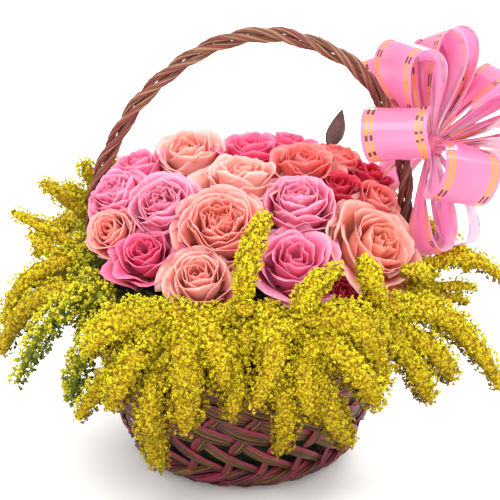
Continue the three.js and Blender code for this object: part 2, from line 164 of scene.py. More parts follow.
class Shape:
    """Gathers shaped blanks into one piece, with a finish for each."""

    def __init__(self):
        self.points = []
        self.uvs = []
        self.shades = []
        self.corners = []
        self.sizes = []
        self.slots = []
        self.count = 0

    def add(self, points, faces, uv=None, shade=0.0, slot=0):
        points = np.asarray(points).reshape(-1, 3)
        number = len(points)
        self.points.append(points)
        self.uvs.append(np.zeros((number, 2)) if uv is None else np.asarray(uv).reshape(-1, 2))
        self.shades.append(np.broadcast_to(np.asarray(shade, dtype=float), (number,)).copy())
        if isinstance(faces, np.ndarray):
            corners = faces.reshape(-1)
            sizes = np.full(len(faces), faces.shape[1])
        else:
            corners = np.concatenate([np.array(face) for face in faces])
            sizes = np.array([len(face) for face in faces])
        self.corners.append(corners + self.count)
        self.sizes.append(sizes)
        self.slots.append(np.full(len(sizes), slot))
        self.count += number

    def rod(self, blank, path, normal, width, depth, shade=0.0, slot=0):
        """Adds a rod bent along a path, its radii given in millimetres."""
        points, faces, uv = swept(blank, path, normal, width * MM, depth * MM)
        self.add(points, faces, uv, shade, slot)

    def piece(self, name, finishes, slot, *nodes, crisp=False):
        """The finished piece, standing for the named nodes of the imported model. A crisp one
        keeps the edges that are sharper than 50 degrees."""
        points = np.concatenate(self.points)
        corners = np.concatenate(self.corners).astype(np.int32)
        sizes = np.concatenate(self.sizes)
        mesh = bpy.data.meshes.new(name)
        mesh.vertices.add(len(points))
        mesh.vertices.foreach_set("co", points.reshape(-1))
        mesh.loops.add(len(corners))
        mesh.loops.foreach_set("vertex_index", corners)
        mesh.polygons.add(len(sizes))
        mesh.polygons.foreach_set("loop_start", np.concatenate([[0], np.cumsum(sizes)[:-1]]))
        mesh.polygons.foreach_set("material_index", np.concatenate(self.slots))
        mesh.update(calc_edges=True)
        mesh.validate()
        uv = mesh.uv_layers.new(name="UVMap")
        uv.data.foreach_set("uv", np.concatenate(self.uvs)[corners].reshape(-1))
        shade = mesh.attributes.new("shade", "FLOAT", "POINT")
        shade.data.foreach_set("value", np.concatenate(self.shades))
        for finish in finishes:
            mesh.materials.append(finish)
        obj = bpy.data.objects.new(name, mesh)
        bpy.context.scene.collection.objects.link(obj)
        bpy.ops.object.select_all(action="DESELECT")
        obj.select_set(True)
        bpy.context.view_layer.objects.active = obj
        if crisp:
            bpy.ops.object.shade_smooth_by_angle(angle=math.radians(50))
        else:
            bpy.ops.object.shade_smooth()
        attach(obj, "root")
        if nodes:
            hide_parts(*nodes)
        return obj


def shaped(blank, surface, thickness):
    """Lays a sheet blank onto surface(u, v), with its front and back half a thickness off."""
    points, faces = blank
    u, v, side = points.T
    step = 1e-3
    u0 = np.clip(u, -1 + step, 1 - step)
    v0 = np.clip(v, step, 1 - step)
    du = surface(u0 + step, v0) - surface(u0 - step, v0)
    dv = surface(u0, v0 + step) - surface(u0, v0 - step)
    normal = unit(np.cross(du, dv))
    return surface(u, v) + normal * (side * thickness / 2)[:, None], faces


def swept(blank, path, normal, width, depth):
    """Bends a rod blank along a path of points. width lies square to normal, depth along it."""
    points, faces = blank
    path = np.asarray(path)
    place = points[:, 2] * (len(path) - 1)
    low = np.minimum(place.astype(int), len(path) - 2)
    share = (place - low)[:, None]
    tangent = unit(np.gradient(path, axis=0))
    normal = unit(normal - (normal * tangent).sum(axis=1, keepdims=True) * tangent)
    side = np.cross(normal, tangent)

    def at(values):
        return values[low] * (1 - share) + values[low + 1] * share

    width = np.broadcast_to(width, (len(path),))
    depth = np.broadcast_to(depth, (len(path),))
    wide = at(width[:, None]) * points[:, :1]
    deep = at(depth[:, None]) * points[:, 1:2]
    laid = at(path) + at(side) * wide + at(normal) * deep
    length = np.concatenate([[0], np.cumsum(np.linalg.norm(np.diff(path, axis=0), axis=1))])
    around = np.arctan2(points[:, 1], points[:, 0]) / (2 * math.pi)
    return laid, faces, np.stack([around, at(length[:, None])[:, 0]], axis=1)


def through(points, number):
    """Evenly spaced points on a smooth line through the given ones."""
    points = np.asarray(points, dtype=float)
    ends = np.concatenate([[2 * points[0] - points[1]], points, [2 * points[-1] - points[-2]]])
    pieces = []
    steps = 24
    t = np.linspace(0, 1, steps, endpoint=False)[:, None]
    for a, b, c, d in zip(ends[:-3], ends[1:-2], ends[2:-1], ends[3:]):
        pieces.append(0.5 * (2 * b + (c - a) * t + (2 * a - 5 * b + 4 * c - d) * t ** 2
                             + (3 * b - a - 3 * c + d) * t ** 3))
    line = np.concatenate(pieces + [points[-1:]])
    run = np.concatenate([[0], np.cumsum(np.linalg.norm(np.diff(line, axis=0), axis=1))])
    even = np.linspace(0, run[-1], number)
    return np.stack([np.interp(even, run, line[:, k]) for k in range(3)], axis=1)


def arc(start, middle, end, number):
    """Points on the simple curve from start to end that passes through middle half way."""
    t = np.linspace(0, 1, number)[:, None]
    control = 2 * middle - start / 2 - end / 2
    return (1 - t) ** 2 * start + 2 * t * (1 - t) * control + t ** 2 * end


# ---------- finishes ----------

# A colour Mix node's sockets by number: its share, its two colours, and its result.
SHARE, FIRST, SECOND, RESULT = 0, 6, 7, 2


def colour(code):
    """An sRGB hex colour as linear light."""
    shares = [int(code[i:i + 2], 16) / 255 for i in (1, 3, 5)]
    return tuple(s / 12.92 if s <= 0.04045 else ((s + 0.055) / 1.055) ** 2.4 for s in shares) + (1,)


def cells(number, mm):
    """The scale that fits this many of a pattern's cells into a length in millimetres."""
    return number / (mm * MM)


def finish(name):
    """A new material, and the function that adds a node to it."""
    material = bpy.data.materials.new(name)
    material.use_nodes = True
    tree = material.node_tree
    tree.nodes.clear()

    def add(kind, inputs, out=0, stops=(), **settings):
        """Adds a node with its settings, its sockets' values, hex colours or links, and a
        ramp's stops. Gives its output `out`."""
        made = tree.nodes.new("ShaderNode" + kind)
        for key, value in settings.items():
            setattr(made, key, value)
        for key, value in inputs.items():
            if isinstance(value, bpy.types.NodeSocket):
                tree.links.new(value, made.inputs[key])
            else:
                made.inputs[key].default_value = colour(value) if isinstance(value, str) else value
        if stops:
            steps = made.color_ramp.elements
            steps.remove(steps[-1])
            steps[0].position = stops[0][0]
            steps[0].color = colour(stops[0][1])
            for place, code in stops[1:]:
                steps.new(place).color = colour(code)
        return made.outputs[out] if made.outputs else None

    return material, add


def thin_sheet(add, shader, tint, share):
    """Ends a material whose sheet lets a share of the light through, coloured by its tint."""
    glow = add("BsdfTranslucent", {"Color": tint})
    both = add("MixShader", {0: share, 1: shader, 2: glow})
    add("OutputMaterial", {"Surface": both})


def petal_finish(name, base, body, rim, heart, guard, guard_share):
    """A fresh petal: soft and matte, so thin that light shows through it, deeper in colour.
    Its claw is warmer, its rim paler, and the petals near the heart are deeper in colour."""
    material, add = finish(name)
    uv = add("UVMap", {}, uv_map="UVMap")
    split = add("SeparateXYZ", {"Vector": uv}).node
    from_claw = split.outputs["Y"]
    across = add("Math", {0: split.outputs["X"]}, operation="ABSOLUTE")
    along = add("ValToRGB", {"Fac": from_claw}, stops=[
        (0.0, base), (0.35, body), (0.8, body), (0.97, rim)])
    edge = add("MapRange", {"Value": across, "From Min": 0.75, "From Max": 1.0, "To Max": 0.35})
    rimmed = add("Mix", {SHARE: edge, FIRST: along, SECOND: rim}, RESULT, data_type="RGBA")
    layer = add("Attribute", {}, "Fac", attribute_name="shade")
    inner = add("MapRange", {"Value": layer, "From Min": 0.45, "From Max": 0.0, "To Max": 0.75})
    deep = add("Mix", {SHARE: inner, FIRST: rimmed, SECOND: heart}, RESULT, data_type="RGBA")
    place = add("TexCoord", {}, "Object")
    patches = add("TexNoise", {"Vector": place, "Scale": cells(7, 100), "Detail": 3.0})
    tone = add("MapRange", {"Value": patches, "From Min": 0.35, "From Max": 0.65, "To Max": 0.22})
    patched = add("Mix", {SHARE: tone, FIRST: deep, SECOND: rim}, RESULT, data_type="RGBA")
    # Veins run from claw to rim, about 1 mm apart across a 40 mm petal.
    stretch = add("Mapping", {"Vector": uv, "Scale": (18.0, 1.6, 1.0)})
    veins = add("TexNoise", {"Vector": stretch, "Scale": 1.0, "Detail": 2.0})
    line = add("MapRange", {"Value": veins, "From Min": 0.4, "From Max": 0.7, "To Max": 0.16})
    veined = add("Mix", {SHARE: line, FIRST: patched, SECOND: base}, RESULT, data_type="RGBA")
    # The outermost guard petals are creamy from the claw up to near the rim.
    outer = add("MapRange", {"Value": layer, "From Min": 0.82, "From Max": 1.0,
                             "To Max": guard_share})
    low = add("MapRange", {"Value": from_claw, "From Min": 0.95, "From Max": 0.35})
    creamy = add("Math", {0: outer, 1: low}, operation="MULTIPLY")
    petal = add("Mix", {SHARE: creamy, FIRST: veined, SECOND: guard}, RESULT, data_type="RGBA")
    bump = add("Bump", {"Height": veins, "Strength": 0.25, "Distance": 0.4 * MM})
    shader = add("BsdfPrincipled", {"Base Color": petal, "Normal": bump, "Roughness": 0.6,
                                    "Specular IOR Level": 0.25})
    tint = add("Mix", {SHARE: 0.22, FIRST: petal, SECOND: base}, RESULT, data_type="RGBA")
    thin_sheet(add, shader, tint, 0.52)
    return material


def green_finish(name, light, dark, roughness=0.45):
    """A leaf or stem: waxy green in two close tones, with slanting ribs."""
    material, add = finish(name)
    place = add("TexCoord", {}, "Object")
    patches = add("TexNoise", {"Vector": place, "Scale": cells(3, 25), "Detail": 4.0})
    tones = add("ValToRGB", {"Fac": patches}, stops=[(0.3, dark), (0.7, light)])
    uv = add("UVMap", {}, uv_map="UVMap")
    split = add("SeparateXYZ", {"Vector": uv}).node
    across = add("Math", {0: split.outputs["X"]}, operation="ABSOLUTE")
    slant = add("Math", {0: split.outputs["Y"], 1: across}, operation="SUBTRACT")
    # 60 radians from a leaf's foot to its tip make about ten ribs.
    ribs = add("Math", {0: slant, 1: 60.0}, operation="MULTIPLY")
    wave = add("Math", {0: ribs}, operation="SINE")
    bump = add("Bump", {"Height": wave, "Strength": 0.3, "Distance": 0.2 * MM})
    shader = add("BsdfPrincipled", {
        "Base Color": tones, "Normal": bump, "Roughness": roughness, "Subsurface Weight": 0.08,
        "Subsurface Radius": (0.4, 1.0, 0.3), "Subsurface Scale": 1 * MM})
    add("OutputMaterial", {"Surface": shader})
    return material


def floret_finish(name, tones):
    """Tiny fresh florets or buds: matte, in a ramp from dark to clear yellow that paints the shade
    inside a plume and the light on its outer, upper side.
    """
    material, add = finish(name)
    # The shade value holds painted light and shade, which the ramp turns into colour.
    depth = add("Attribute", {}, "Fac", attribute_name="shade")
    steps = add("ValToRGB", {"Fac": depth}, stops=tones)
    place = add("TexCoord", {}, "Object")
    patches = add("TexNoise", {"Vector": place, "Scale": cells(9, 200), "Detail": 2.0})
    tone = add("MapRange", {"Value": patches, "From Min": 0.4, "From Max": 0.7, "To Max": 0.3})
    patched = add("Mix", {SHARE: tone, FIRST: steps, SECOND: tones[1][1]}, RESULT,
                  data_type="RGBA")
    shader = add("BsdfPrincipled", {
        "Base Color": patched, "Roughness": 0.75, "Specular IOR Level": 0.2,
        "Subsurface Weight": 0.15, "Subsurface Radius": (1.0, 0.8, 0.1),
        "Subsurface Scale": 1.5 * MM})
    add("OutputMaterial", {"Surface": shader})
    return material


def crowded_finish(name):
    """Florets packed so close that they can't be told apart: clear yellow grains 2 mm across, with
    painted ochre shadow between them. A low shade value adds painted shade, for the side of a
    plume's core turned from the light."""
    material, add = finish(name)
    place = add("TexCoord", {}, "Object")
    grains = add("TexVoronoi", {"Vector": place, "Scale": cells(12, 25), "Randomness": 1.0})
    tones = add("ValToRGB", {"Fac": grains}, stops=[
        (0.1, "#d8c21a"), (0.35, "#bea20c"), (0.55, "#9a7a06"), (0.8, "#6a5004")])
    depth = add("Attribute", {}, "Fac", attribute_name="shade")
    # Painted shade: where the core's shade value is low, on its side turned from the light, it
    # darkens to deep ochre.
    low = add("MapRange", {"Value": depth, "From Min": 0.6, "From Max": 0.0, "To Max": 0.85})
    deep = add("Mix", {SHARE: low, FIRST: tones, SECOND: "#644802"}, RESULT, data_type="RGBA")
    bump = add("Bump", {"Height": grains, "Strength": 0.8, "Distance": 1 * MM}, invert=True)
    shader = add("BsdfPrincipled", {"Base Color": deep, "Normal": bump, "Roughness": 0.75,
                                    "Specular IOR Level": 0.2})
    add("OutputMaterial", {"Surface": shader})
    return material


def cane_finish(name, tones):
    """Split willow, dyed in part and varnished thinly: fine fibres along it, a soft gloss."""
    material, add = finish(name)
    dye = add("Attribute", {}, "Fac", attribute_name="shade")
    uv = add("UVMap", {}, uv_map="UVMap")
    # Fibres are a ninth of a strand's girth wide and 25 mm long: V runs in metres along it.
    stretch = add("Mapping", {"Vector": uv, "Scale": (9.0, cells(1, 25), 1.0)})
    fibres = add("TexNoise", {"Vector": stretch, "Scale": 1.0, "Detail": 4.0})
    place = add("TexCoord", {}, "Object")
    patches = add("TexNoise", {"Vector": place, "Scale": cells(3, 50), "Detail": 2.0})
    uneven = add("MapRange", {"Value": patches, "From Min": 0.3, "From Max": 0.7,
                              "To Min": -0.1, "To Max": 0.1})
    dyed = add("Math", {0: dye, 1: uneven}, operation="ADD")
    steps = add("ValToRGB", {"Fac": dyed}, stops=tones)
    dark = add("MapRange", {"Value": fibres, "From Min": 0.5, "From Max": 0.72, "To Max": 0.55})
    lined = add("Mix", {SHARE: dark, FIRST: steps, SECOND: "#3a1c14"}, RESULT, data_type="RGBA")
    bump = add("Bump", {"Height": fibres, "Strength": 0.35, "Distance": 0.3 * MM})
    shader = add("BsdfPrincipled", {
        "Base Color": lined, "Normal": bump, "Roughness": 0.45, "Specular IOR Level": 0.3,
        "Coat Weight": 0.08, "Coat Roughness": 0.2})
    add("OutputMaterial", {"Surface": shader})
    return material


def satin_finish():
    """Thin satin ribbon: a tight smooth weave, shiny along its folds, with gold lines woven
    into its front. Light passes through it, so that the insides of its loops are bright."""
    material, add = finish("pink satin ribbon")
    uv = add("UVMap", {}, uv_map="UVMap")
    split = add("SeparateXYZ", {"Vector": uv})
    across = add("Math", {0: split}, operation="ABSOLUTE")
    lines = []
    # Each line is 2.3 mm wide; its middle and half its width are shares of 25 mm.
    for middle in (0.68, 0.83):
        off = add("Math", {0: across, 1: middle}, operation="SUBTRACT")
        far = add("Math", {0: off}, operation="ABSOLUTE")
        lines.append(add("Math", {0: far, 1: 0.045}, operation="LESS_THAN"))
    both = add("Math", {0: lines[0], 1: lines[1]}, operation="MAXIMUM")
    # Gold thread that turns bronze in stretches: V runs in metres along the ribbon.
    run = add("Mapping", {"Vector": uv, "Scale": (0.0, cells(3, 40), 0.0)})
    dashes = add("TexNoise", {"Vector": run, "Scale": 1.0, "Detail": 2.0})
    dark = add("MapRange", {"Value": dashes, "From Min": 0.53, "From Max": 0.55})
    gold = add("Mix", {SHARE: dark, FIRST: "#e3b445", SECOND: "#7a4420"}, RESULT,
               data_type="RGBA")
    place = add("TexCoord", {}, "Object")
    patches = add("TexNoise", {"Vector": place, "Scale": cells(1, 40), "Detail": 2.0})
    pinks = add("ValToRGB", {"Fac": patches}, stops=[(0.35, "#e07ea4"), (0.65, "#e68eb2")])
    # The back is paler than the front: partly the duller back of satin, mostly painted light that
    # brightens the insides of the loops. The lines show through it only faintly.
    front = add("Attribute", {}, "Fac", attribute_name="shade")
    pink = add("Mix", {SHARE: front, FIRST: "#ffe0ff", SECOND: pinks}, RESULT, data_type="RGBA")
    shows = add("MapRange", {"Value": front, "To Min": 0.15})
    seen = add("Math", {0: both, 1: shows}, operation="MULTIPLY")
    cloth = add("Mix", {SHARE: seen, FIRST: pink, SECOND: gold}, RESULT, data_type="RGBA")
    # The weave is drawn 0.8 mm across and 1.7 mm along, coarser than real satin's, to show.
    stretch = add("Mapping", {"Vector": uv, "Scale": (30.0, cells(3, 5), 1.0)})
    weave = add("TexNoise", {"Vector": stretch, "Scale": 1.0, "Detail": 1.0})
    bump = add("Bump", {"Height": weave, "Strength": 0.08, "Distance": 0.2 * MM})
    shader = add("BsdfPrincipled", {
        "Base Color": cloth, "Normal": bump, "Roughness": 0.3, "Specular IOR Level": 0.5,
        "Coat Weight": 1.0, "Coat Roughness": 0.12})
    pale = add("Mix", {SHARE: front, FIRST: "#ffdcff", SECOND: "#fab6cc"}, RESULT,
               data_type="RGBA")
    tint = add("Mix", {SHARE: seen, FIRST: pale, SECOND: gold}, RESULT, data_type="RGBA")
    thin_sheet(add, shader, tint, 0.58)
    return material


def plain_finish(name, light, dark, roughness, scale, bump_height):
    """Moulded plastic or foam: two close tones and a fine uneven surface."""
    material, add = finish(name)
    place = add("TexCoord", {}, "Object")
    grains = add("TexNoise", {"Vector": place, "Scale": scale, "Detail": 5.0})
    tones = add("ValToRGB", {"Fac": grains}, stops=[(0.35, dark), (0.65, light)])
    bump = add("Bump", {"Height": grains, "Strength": 0.6, "Distance": bump_height * MM})
    shader = add("BsdfPrincipled", {"Base Color": tones, "Roughness": roughness, "Normal": bump})
    add("OutputMaterial", {"Surface": shader})
    return material


# A petal's claw, body, rim and heart, and the creamy colour of the outermost petals with
# how strongly it shows.
PETAL_COLOURS = {
    "coral": ("#ff7038", "#feb6aa", "#fedad6", "#ff8a72", "#f39a58", 0.5),
    "salmon": ("#f4523a", "#f48a86", "#fab8b4", "#f66860", "#ec9460", 0.5),
    "blush": ("#ff844c", "#fec8c0", "#ffe6e2", "#fea494", "#f5b078", 0.6),
    "pink": ("#f84070", "#fa92c2", "#fecce6", "#fc82b0", "#f0a050", 0.75),
    "light pink": ("#f84c76", "#f88cb8", "#fdd0e6", "#fa7ca8", "#f8cc88", 0.9),
    "magenta": ("#ee345c", "#f2689c", "#fca6cc", "#f04e7e", "#e89a60", 0.6),
    "ruby": ("#d01c36", "#da304e", "#ec6080", "#d41832", "#c85040", 0.5),
    "peach": ("#fc8a3c", "#febeac", "#ffe0da", "#fd9678", "#f5a458", 0.8),
}
PETALS = {tone: petal_finish(f"{tone} rose petal", *codes)
          for tone, codes in PETAL_COLOURS.items()}
SEPAL = green_finish("rose sepal and stem", "#7d8c3c", "#44561f")
ROSE_LEAF = green_finish("dark rose leaf", "#4a5226", "#2c2c16", 0.4)
LEAF = green_finish("bronze leaf", "#6d564c", "#3e2f2c", 0.35)
WEED = green_finish("goldenrod stem and leaf", "#7c8a34", "#46561c")
FLORET = floret_finish("goldenrod floret", [
    (0.0, "#523c02"), (0.3, "#886c04"), (0.6, "#bca408"), (1.0, "#dfd222")])
YOUNG = floret_finish("young goldenrod bud", [
    (0.0, "#3e4c0c"), (0.35, "#6c7416"), (0.65, "#a49a1c"), (1.0, "#d2c62c")])
CROWDED = crowded_finish("crowded goldenrod florets")
WICKER = cane_finish("dyed willow strand", [
    (0.05, "#6a4414"), (0.3, "#3e240a"), (0.5, "#3c1008"), (0.72, "#4a0a1c"),
    (0.95, "#780e2e")])
CANE = cane_finish("dyed handle cane", [
    (0.05, "#94684e"), (0.35, "#643e2c"), (0.6, "#7a2a30"), (0.95, "#561020")])
SATIN = satin_finish()


# ---------- basket ----------

# Outside of the wall: radius and height in millimetres, from the foot up.
WALL_RADII = [96, 98, 104, 110, 117, 124, 128, 129]
WALL_HEIGHTS = [16, 24, 36, 55, 85, 112, 131, 137]

BUNDLES = 22
# Height at which each row of crossings lies, from the rim down.
ROW_HEIGHTS = [131, 121, 111, 101.5, 92, 82, 72.5, 62, 51, 37, 19]
ROWS = len(ROW_HEIGHTS) - 1
WEAVE_STEPS = 50
STRAND = 1.3           # half a strand's width; it is flatter than it is wide
LEADER = 0.8           # a strand dyed deeper than this is wider and stands higher
weave_rod = rod_blank(6, WEAVE_STEPS)


def wall_point(angle, height, off):
    """A point on the wall, moved off it by `off` millimetres, and the way out there."""
    step = 3
    radius = np.interp(height, WALL_HEIGHTS, WALL_RADII)
    slope = np.interp(height + step, WALL_HEIGHTS, WALL_RADII) - radius
    lean = np.arctan2(slope, step)
    out = np.stack([np.cos(angle) * np.cos(lean), np.sin(angle) * np.cos(lean), -np.sin(lean)],
                   axis=1)
    middle = np.stack([radius * np.cos(angle), radius * np.sin(angle), height], axis=1)
    return (middle + out * np.asarray(off)[:, None]) * MM, out


def turned(points, angle):
    cos, sin = math.cos(angle), math.sin(angle)
    x, y, z = points.T
    return np.stack([x * cos - y * sin, x * sin + y * cos, z], axis=1)


def weave_bundles(shape, lean, share, outside, dyes):
    """Flat bundles of strands all round the wall, from rim to foot. lean is 1 where they run
    down to the right, and share how far round they go in a row. They show in front on every
    other row, the first one where outside is -1, and are gathered where they pass behind."""
    row = np.linspace(0, ROWS, WEAVE_STEPS + 1)
    height = np.interp(row, range(ROWS + 1), ROW_HEIGHTS)
    height = np.convolve(np.pad(height, 2, "edge"), [0.1, 0.2, 0.4, 0.2, 0.1], "valid")
    spacing = 2 * math.pi / BUNDLES
    # It leans a little more where it passes in front than where it passes behind.
    shift = -0.1 * spacing * np.sin(math.pi * row) / math.pi
    angle = lean * share * spacing * row + shift
    front = -outside * np.cos(math.pi * row)
    middle, out = wall_point(angle, height, 1.6 * front - 1.2)
    tangent = unit(np.gradient(middle, axis=0))
    across = np.cross(out, tangent)
    # A bundle bulges where it passes in front, and is drawn together below the eighth row.
    narrow = 1 - 0.42 * ease(row - 8.0)
    spread = (0.66 + 0.34 * ease(0.5 + 0.5 * front)) * 2 * STRAND * narrow * MM
    places = np.arange(len(dyes)) - (len(dyes) - 1) / 2
    made = []
    # No two strands beside each other stand equally high.
    for index, (place, dye) in enumerate(zip(places, dyes)):
        leads = dye > LEADER
        lift = (0.35 * math.cos(index * 2.4) + (0.5 if leads else 0)) * MM
        path = middle + across * (spread * place)[:, None] + out * lift
        wide = (1.6 if leads else 1.0) * STRAND * MM
        points, faces, uv = swept(weave_rod, path, out, wide, 0.85 * MM)
        made.append((points, faces, uv, dye))
    for copy in range(BUNDLES):
        for points, faces, uv, dye in made:
            tint = dye + 0.07 * math.sin(copy * 2.3 + dye * 9)
            shape.add(turned(points, copy * spacing), faces, uv + [0, copy * 0.37], tint)


BRAID_STEPS = 130
PLIES = 3
braid_rod = rod_blank(5, BRAID_STEPS)


def rope(shape, radius, height, thick, turns, strands, dyes, start=0.0):
    """A rope laid round the basket: plies of several strands, twisted round its middle.
    thick is the rope's radius; turns is how often it twists on its way round."""
    angle = np.linspace(0, 2 * math.pi, BRAID_STEPS + 1)
    ply_off = thick * 0.5
    strand_off = thick * 0.27
    wide = thick * 0.26
    deep = thick * 0.2
    for ply in range(PLIES):
        twist = turns * angle + (2 * math.pi * ply / PLIES + start)
        normal = np.stack([np.cos(angle) * np.cos(twist), np.sin(angle) * np.cos(twist),
                           np.sin(twist)], axis=1)
        for strand in range(strands):
            own = twist + 3 * angle + 2 * math.pi * strand / strands
            out = radius + (ply_off * np.cos(twist) + strand_off * np.cos(own))
            rise = ply_off * np.sin(twist) + strand_off * np.sin(own)
            path = np.stack([out * np.cos(angle), out * np.sin(angle), height + rise], axis=1)
            dye = dyes[(ply * strands + strand) % len(dyes)]
            shape.rod(braid_rod, path * MM, normal, wide, deep, dye)


# The wall: bundles that run down to the right, led by a magenta strand on their upper
# edge, over and under narrower bundles that run down to the left.
wall = Shape()
weave_bundles(wall, 1, 0.8, 1, [0.3, 0.08, 0.34, 0.14, 0.95])
weave_bundles(wall, -1, 0.2, -1, [0.9, 0.3, 0.1, 0.42])
wall.piece("basket_wall_weave", [WICKER], "wicker", "basket_wall")

foot = Shape()
rope(foot, radius=89.5, height=15.5, thick=8.0, turns=7, strands=5, dyes=[
    0.95, 0.8, 0.72, 0.3, 0.9, 0.1, 0.35, 0.95, 0.6, 0.14, 0.78, 0.3, 0.9, 0.5, 0.72])
rope(foot, radius=81, height=6.6, thick=6.3, turns=8, strands=4, start=0.8, dyes=[
    0.5, 0.78, 0.3, 0.9, 0.62, 0.42, 0.1, 0.72, 0.35, 0.85])
foot.piece("basket_foot_braid", [WICKER], "wicker", "basket_foot")

rim = Shape()
rope(rim, radius=129, height=137, thick=5.4, turns=12, strands=4,
     dyes=[0.95, 0.3, 0.1, 0.85, 0.35, 0.62])
rim.piece("basket_rim_rope", [WICKER], "wicker", "basket_rim")

# The floor: rings of strands woven over and under spokes, round a plain disc.
FLOOR_RADIUS = 72
FLOOR_LIFT = 2
RING_GAP = 3.4
RING_STEPS = 72
SPOKES = 24
SPOKE_STEPS = 6

floor = Shape()
ring_rod = rod_blank(5, RING_STEPS)
spoke_rod = rod_blank(5, SPOKE_STEPS)
angle = np.linspace(0, 2 * math.pi, RING_STEPS + 1)
for index, radius in enumerate(np.arange(8, FLOOR_RADIUS, RING_GAP)):
    wave = 0.8 * np.cos(SPOKES / 2 * angle + math.pi * index)
    path = np.stack([radius * np.cos(angle), radius * np.sin(angle), FLOOR_LIFT + wave], axis=1)
    floor.rod(ring_rod, path * MM, UP, 1.6, 0.9, 0.1 + 0.25 * (index % 2))
for spoke in range(SPOKES):
    turn = 2 * math.pi * (spoke + 0.5) / SPOKES
    way = np.array([math.cos(turn), math.sin(turn), 0])
    rise = [0, 0, FLOOR_LIFT]
    path = np.linspace(4 * way + rise, FLOOR_RADIUS * way + rise, SPOKE_STEPS + 1) * MM
    floor.rod(spoke_rod, path, UP, 1.5, 0.8, 0.3)
disc = rod_blank(24, 1)
floor.add(disc[0] * vec(9, 9, 2.6) + vec(0, 0, 0.7), disc[1], None, 0.35)
floor.piece("basket_floor_weave", [WICKER], "wicker", "basket_floor")

# The handle's middle line in the plane y = 0, in millimetres, from the left end.
HANDLE_LINE = [
    (-102, 72), (-110, 105), (-116.5, 137), (-121.5, 172), (-121, 205), (-115, 238),
    (-104, 264), (-84, 297), (-60, 321), (-33, 340), (-4, 351), (25, 353.5), (54, 347),
    (84, 332), (105, 309), (120, 281), (129, 251), (132, 215), (129, 175), (117.5, 137),
    (110, 105), (102, 72),
]
HANDLE_STEPS = 300
HANDLE_STRANDS = 6     # in each of its three bundles
TWIST_RADIUS = 4.0
TWIST_TURNS = 8.5
STRAND_RADIUS = 1.9    # from the middle of a bundle to the middle of a strand
STRAND_TURNS = 3

handle_line = through([vec(x, 0, z) for x, z in HANDLE_LINE], HANDLE_STEPS + 1)
handle_deep = np.tile([0.0, 1.0, 0.0], (len(handle_line), 1))
handle_out = np.cross(handle_deep, unit(np.gradient(handle_line, axis=0)))
handle_rod = rod_blank(6, HANDLE_STEPS)
run = np.linspace(0, 1, HANDLE_STEPS + 1)
for index, letter in enumerate("abc"):
    bundle = Shape()
    turn = 2 * math.pi * (TWIST_TURNS * run + index / 3)
    out = handle_out * np.cos(turn)[:, None] + handle_deep * np.sin(turn)[:, None]
    side = handle_deep * np.cos(turn)[:, None] - handle_out * np.sin(turn)[:, None]
    middle = handle_line + out * TWIST_RADIUS * MM
    for strand in range(HANDLE_STRANDS):
        around = 2 * math.pi * strand / HANDLE_STRANDS + 2 * math.pi * STRAND_TURNS * run
        off = out * np.cos(around)[:, None] + side * np.sin(around)[:, None]
        points, faces, uv = swept(handle_rod, middle + off * STRAND_RADIUS * MM, out, 1.15 * MM,
                                  1.0 * MM)
        # The strands are darker and redder low down, at the rim, and turn paler up to the top of
        # the hoop.
        high = np.clip((points[:, 2] - 140 * MM) / (180 * MM), 0, 1)
        dye = [0.15, 0.8, 0.35, 0.95, 0.1, 0.65][(strand + 2 * index) % HANDLE_STRANDS]
        bundle.add(points, faces, uv, dye * (1.0 - 0.45 * high) + 0.3 * (1 - high))
    bundle.piece(f"handle_bundle_{letter}", [CANE], "cane", f"handle_cane_{letter}")

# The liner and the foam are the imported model's own meshes.
liner_skin = plain_finish("dark green liner plastic", "#34462f", "#26331f", 0.35,
                          cells(9, 100), 0.3)
foam_skin = plain_finish("wet floral foam", "#4c7a44", "#2c5230", 0.95, cells(7, 5), 0.6)
for name, skin in (("liner", liner_skin), ("floral_foam", foam_skin)):
    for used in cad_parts[name].material_slots:
        used.material = skin


# ---------- roses ----------

# Every flower has random numbers of its own: these plus its number are their seeds.
HEAD_SEED = 100
LEAF_SEED = 300
SPRAY_SEED = 500

FOAM_TOP = 138.0
FOAM_DEPTH = 42.0      # of a stem's hole
STEM_LEAN = 0.86       # how much nearer the middle a stem's cut end is than its hole's mouth
GOLDEN_TURN = 2.39996  # the turn from one petal or shoot to the next, as real plants grow


def foam_end(start, spread):
    """Where a stem that starts at `start` enters the foam, and its cut end. spread is how far
    out it enters, as a share of how far out it starts."""
    mouth = np.array([start[0] * spread, start[1] * spread, FOAM_TOP * MM])
    cut = np.array([mouth[0] * STEM_LEAN, mouth[1] * STEM_LEAN, (FOAM_TOP - FOAM_DEPTH) * MM])
    return mouth, cut


def bezier(a, b, c, d, v):
    w = 1 - v
    return w ** 3 * a + 3 * w * w * v * b + 3 * w * v * v * c + v ** 3 * d


# How a petal stands, by its layer from the heart (0) to the outside (1): control values
# of its distance from the axis and of its height, in head widths.
LAYERS = [0.0, 0.25, 0.5, 0.75, 1.0]
OUTWARDS = np.array([
    [0.02, 0.09, 0.12, 0.05],
    [0.03, 0.20, 0.22, 0.15],
    [0.04, 0.33, 0.31, 0.27],
    [0.05, 0.42, 0.41, 0.41],
    [0.05, 0.44, 0.48, 0.51],
])
UPWARDS = np.array([
    [-0.30, -0.12, 0.16, 0.31],
    [-0.32, -0.18, 0.20, 0.35],
    [-0.36, -0.27, 0.16, 0.35],
    [-0.40, -0.38, 0.06, 0.25],
    [-0.43, -0.45, -0.06, 0.14],
])
# Half of how far round the axis a petal reaches, in radians.
SPANS = [2.5, 1.65, 1.3, 1.0, 0.85]

STEM_STEPS = 10
STEM_RADIUS = 2.4
NECK = 0.46            # from a head's middle down to its stem, in head widths
PETAL_THICK = 0.35
SEPAL_THICK = 0.6
petal_blank = sheet_blank(10, 9)
sepal_blank = sheet_blank(4, 6)
leaf_blank = sheet_blank(4, 8)
stem_rod = rod_blank(6, STEM_STEPS)
cup_rod = rod_blank(10, 6)


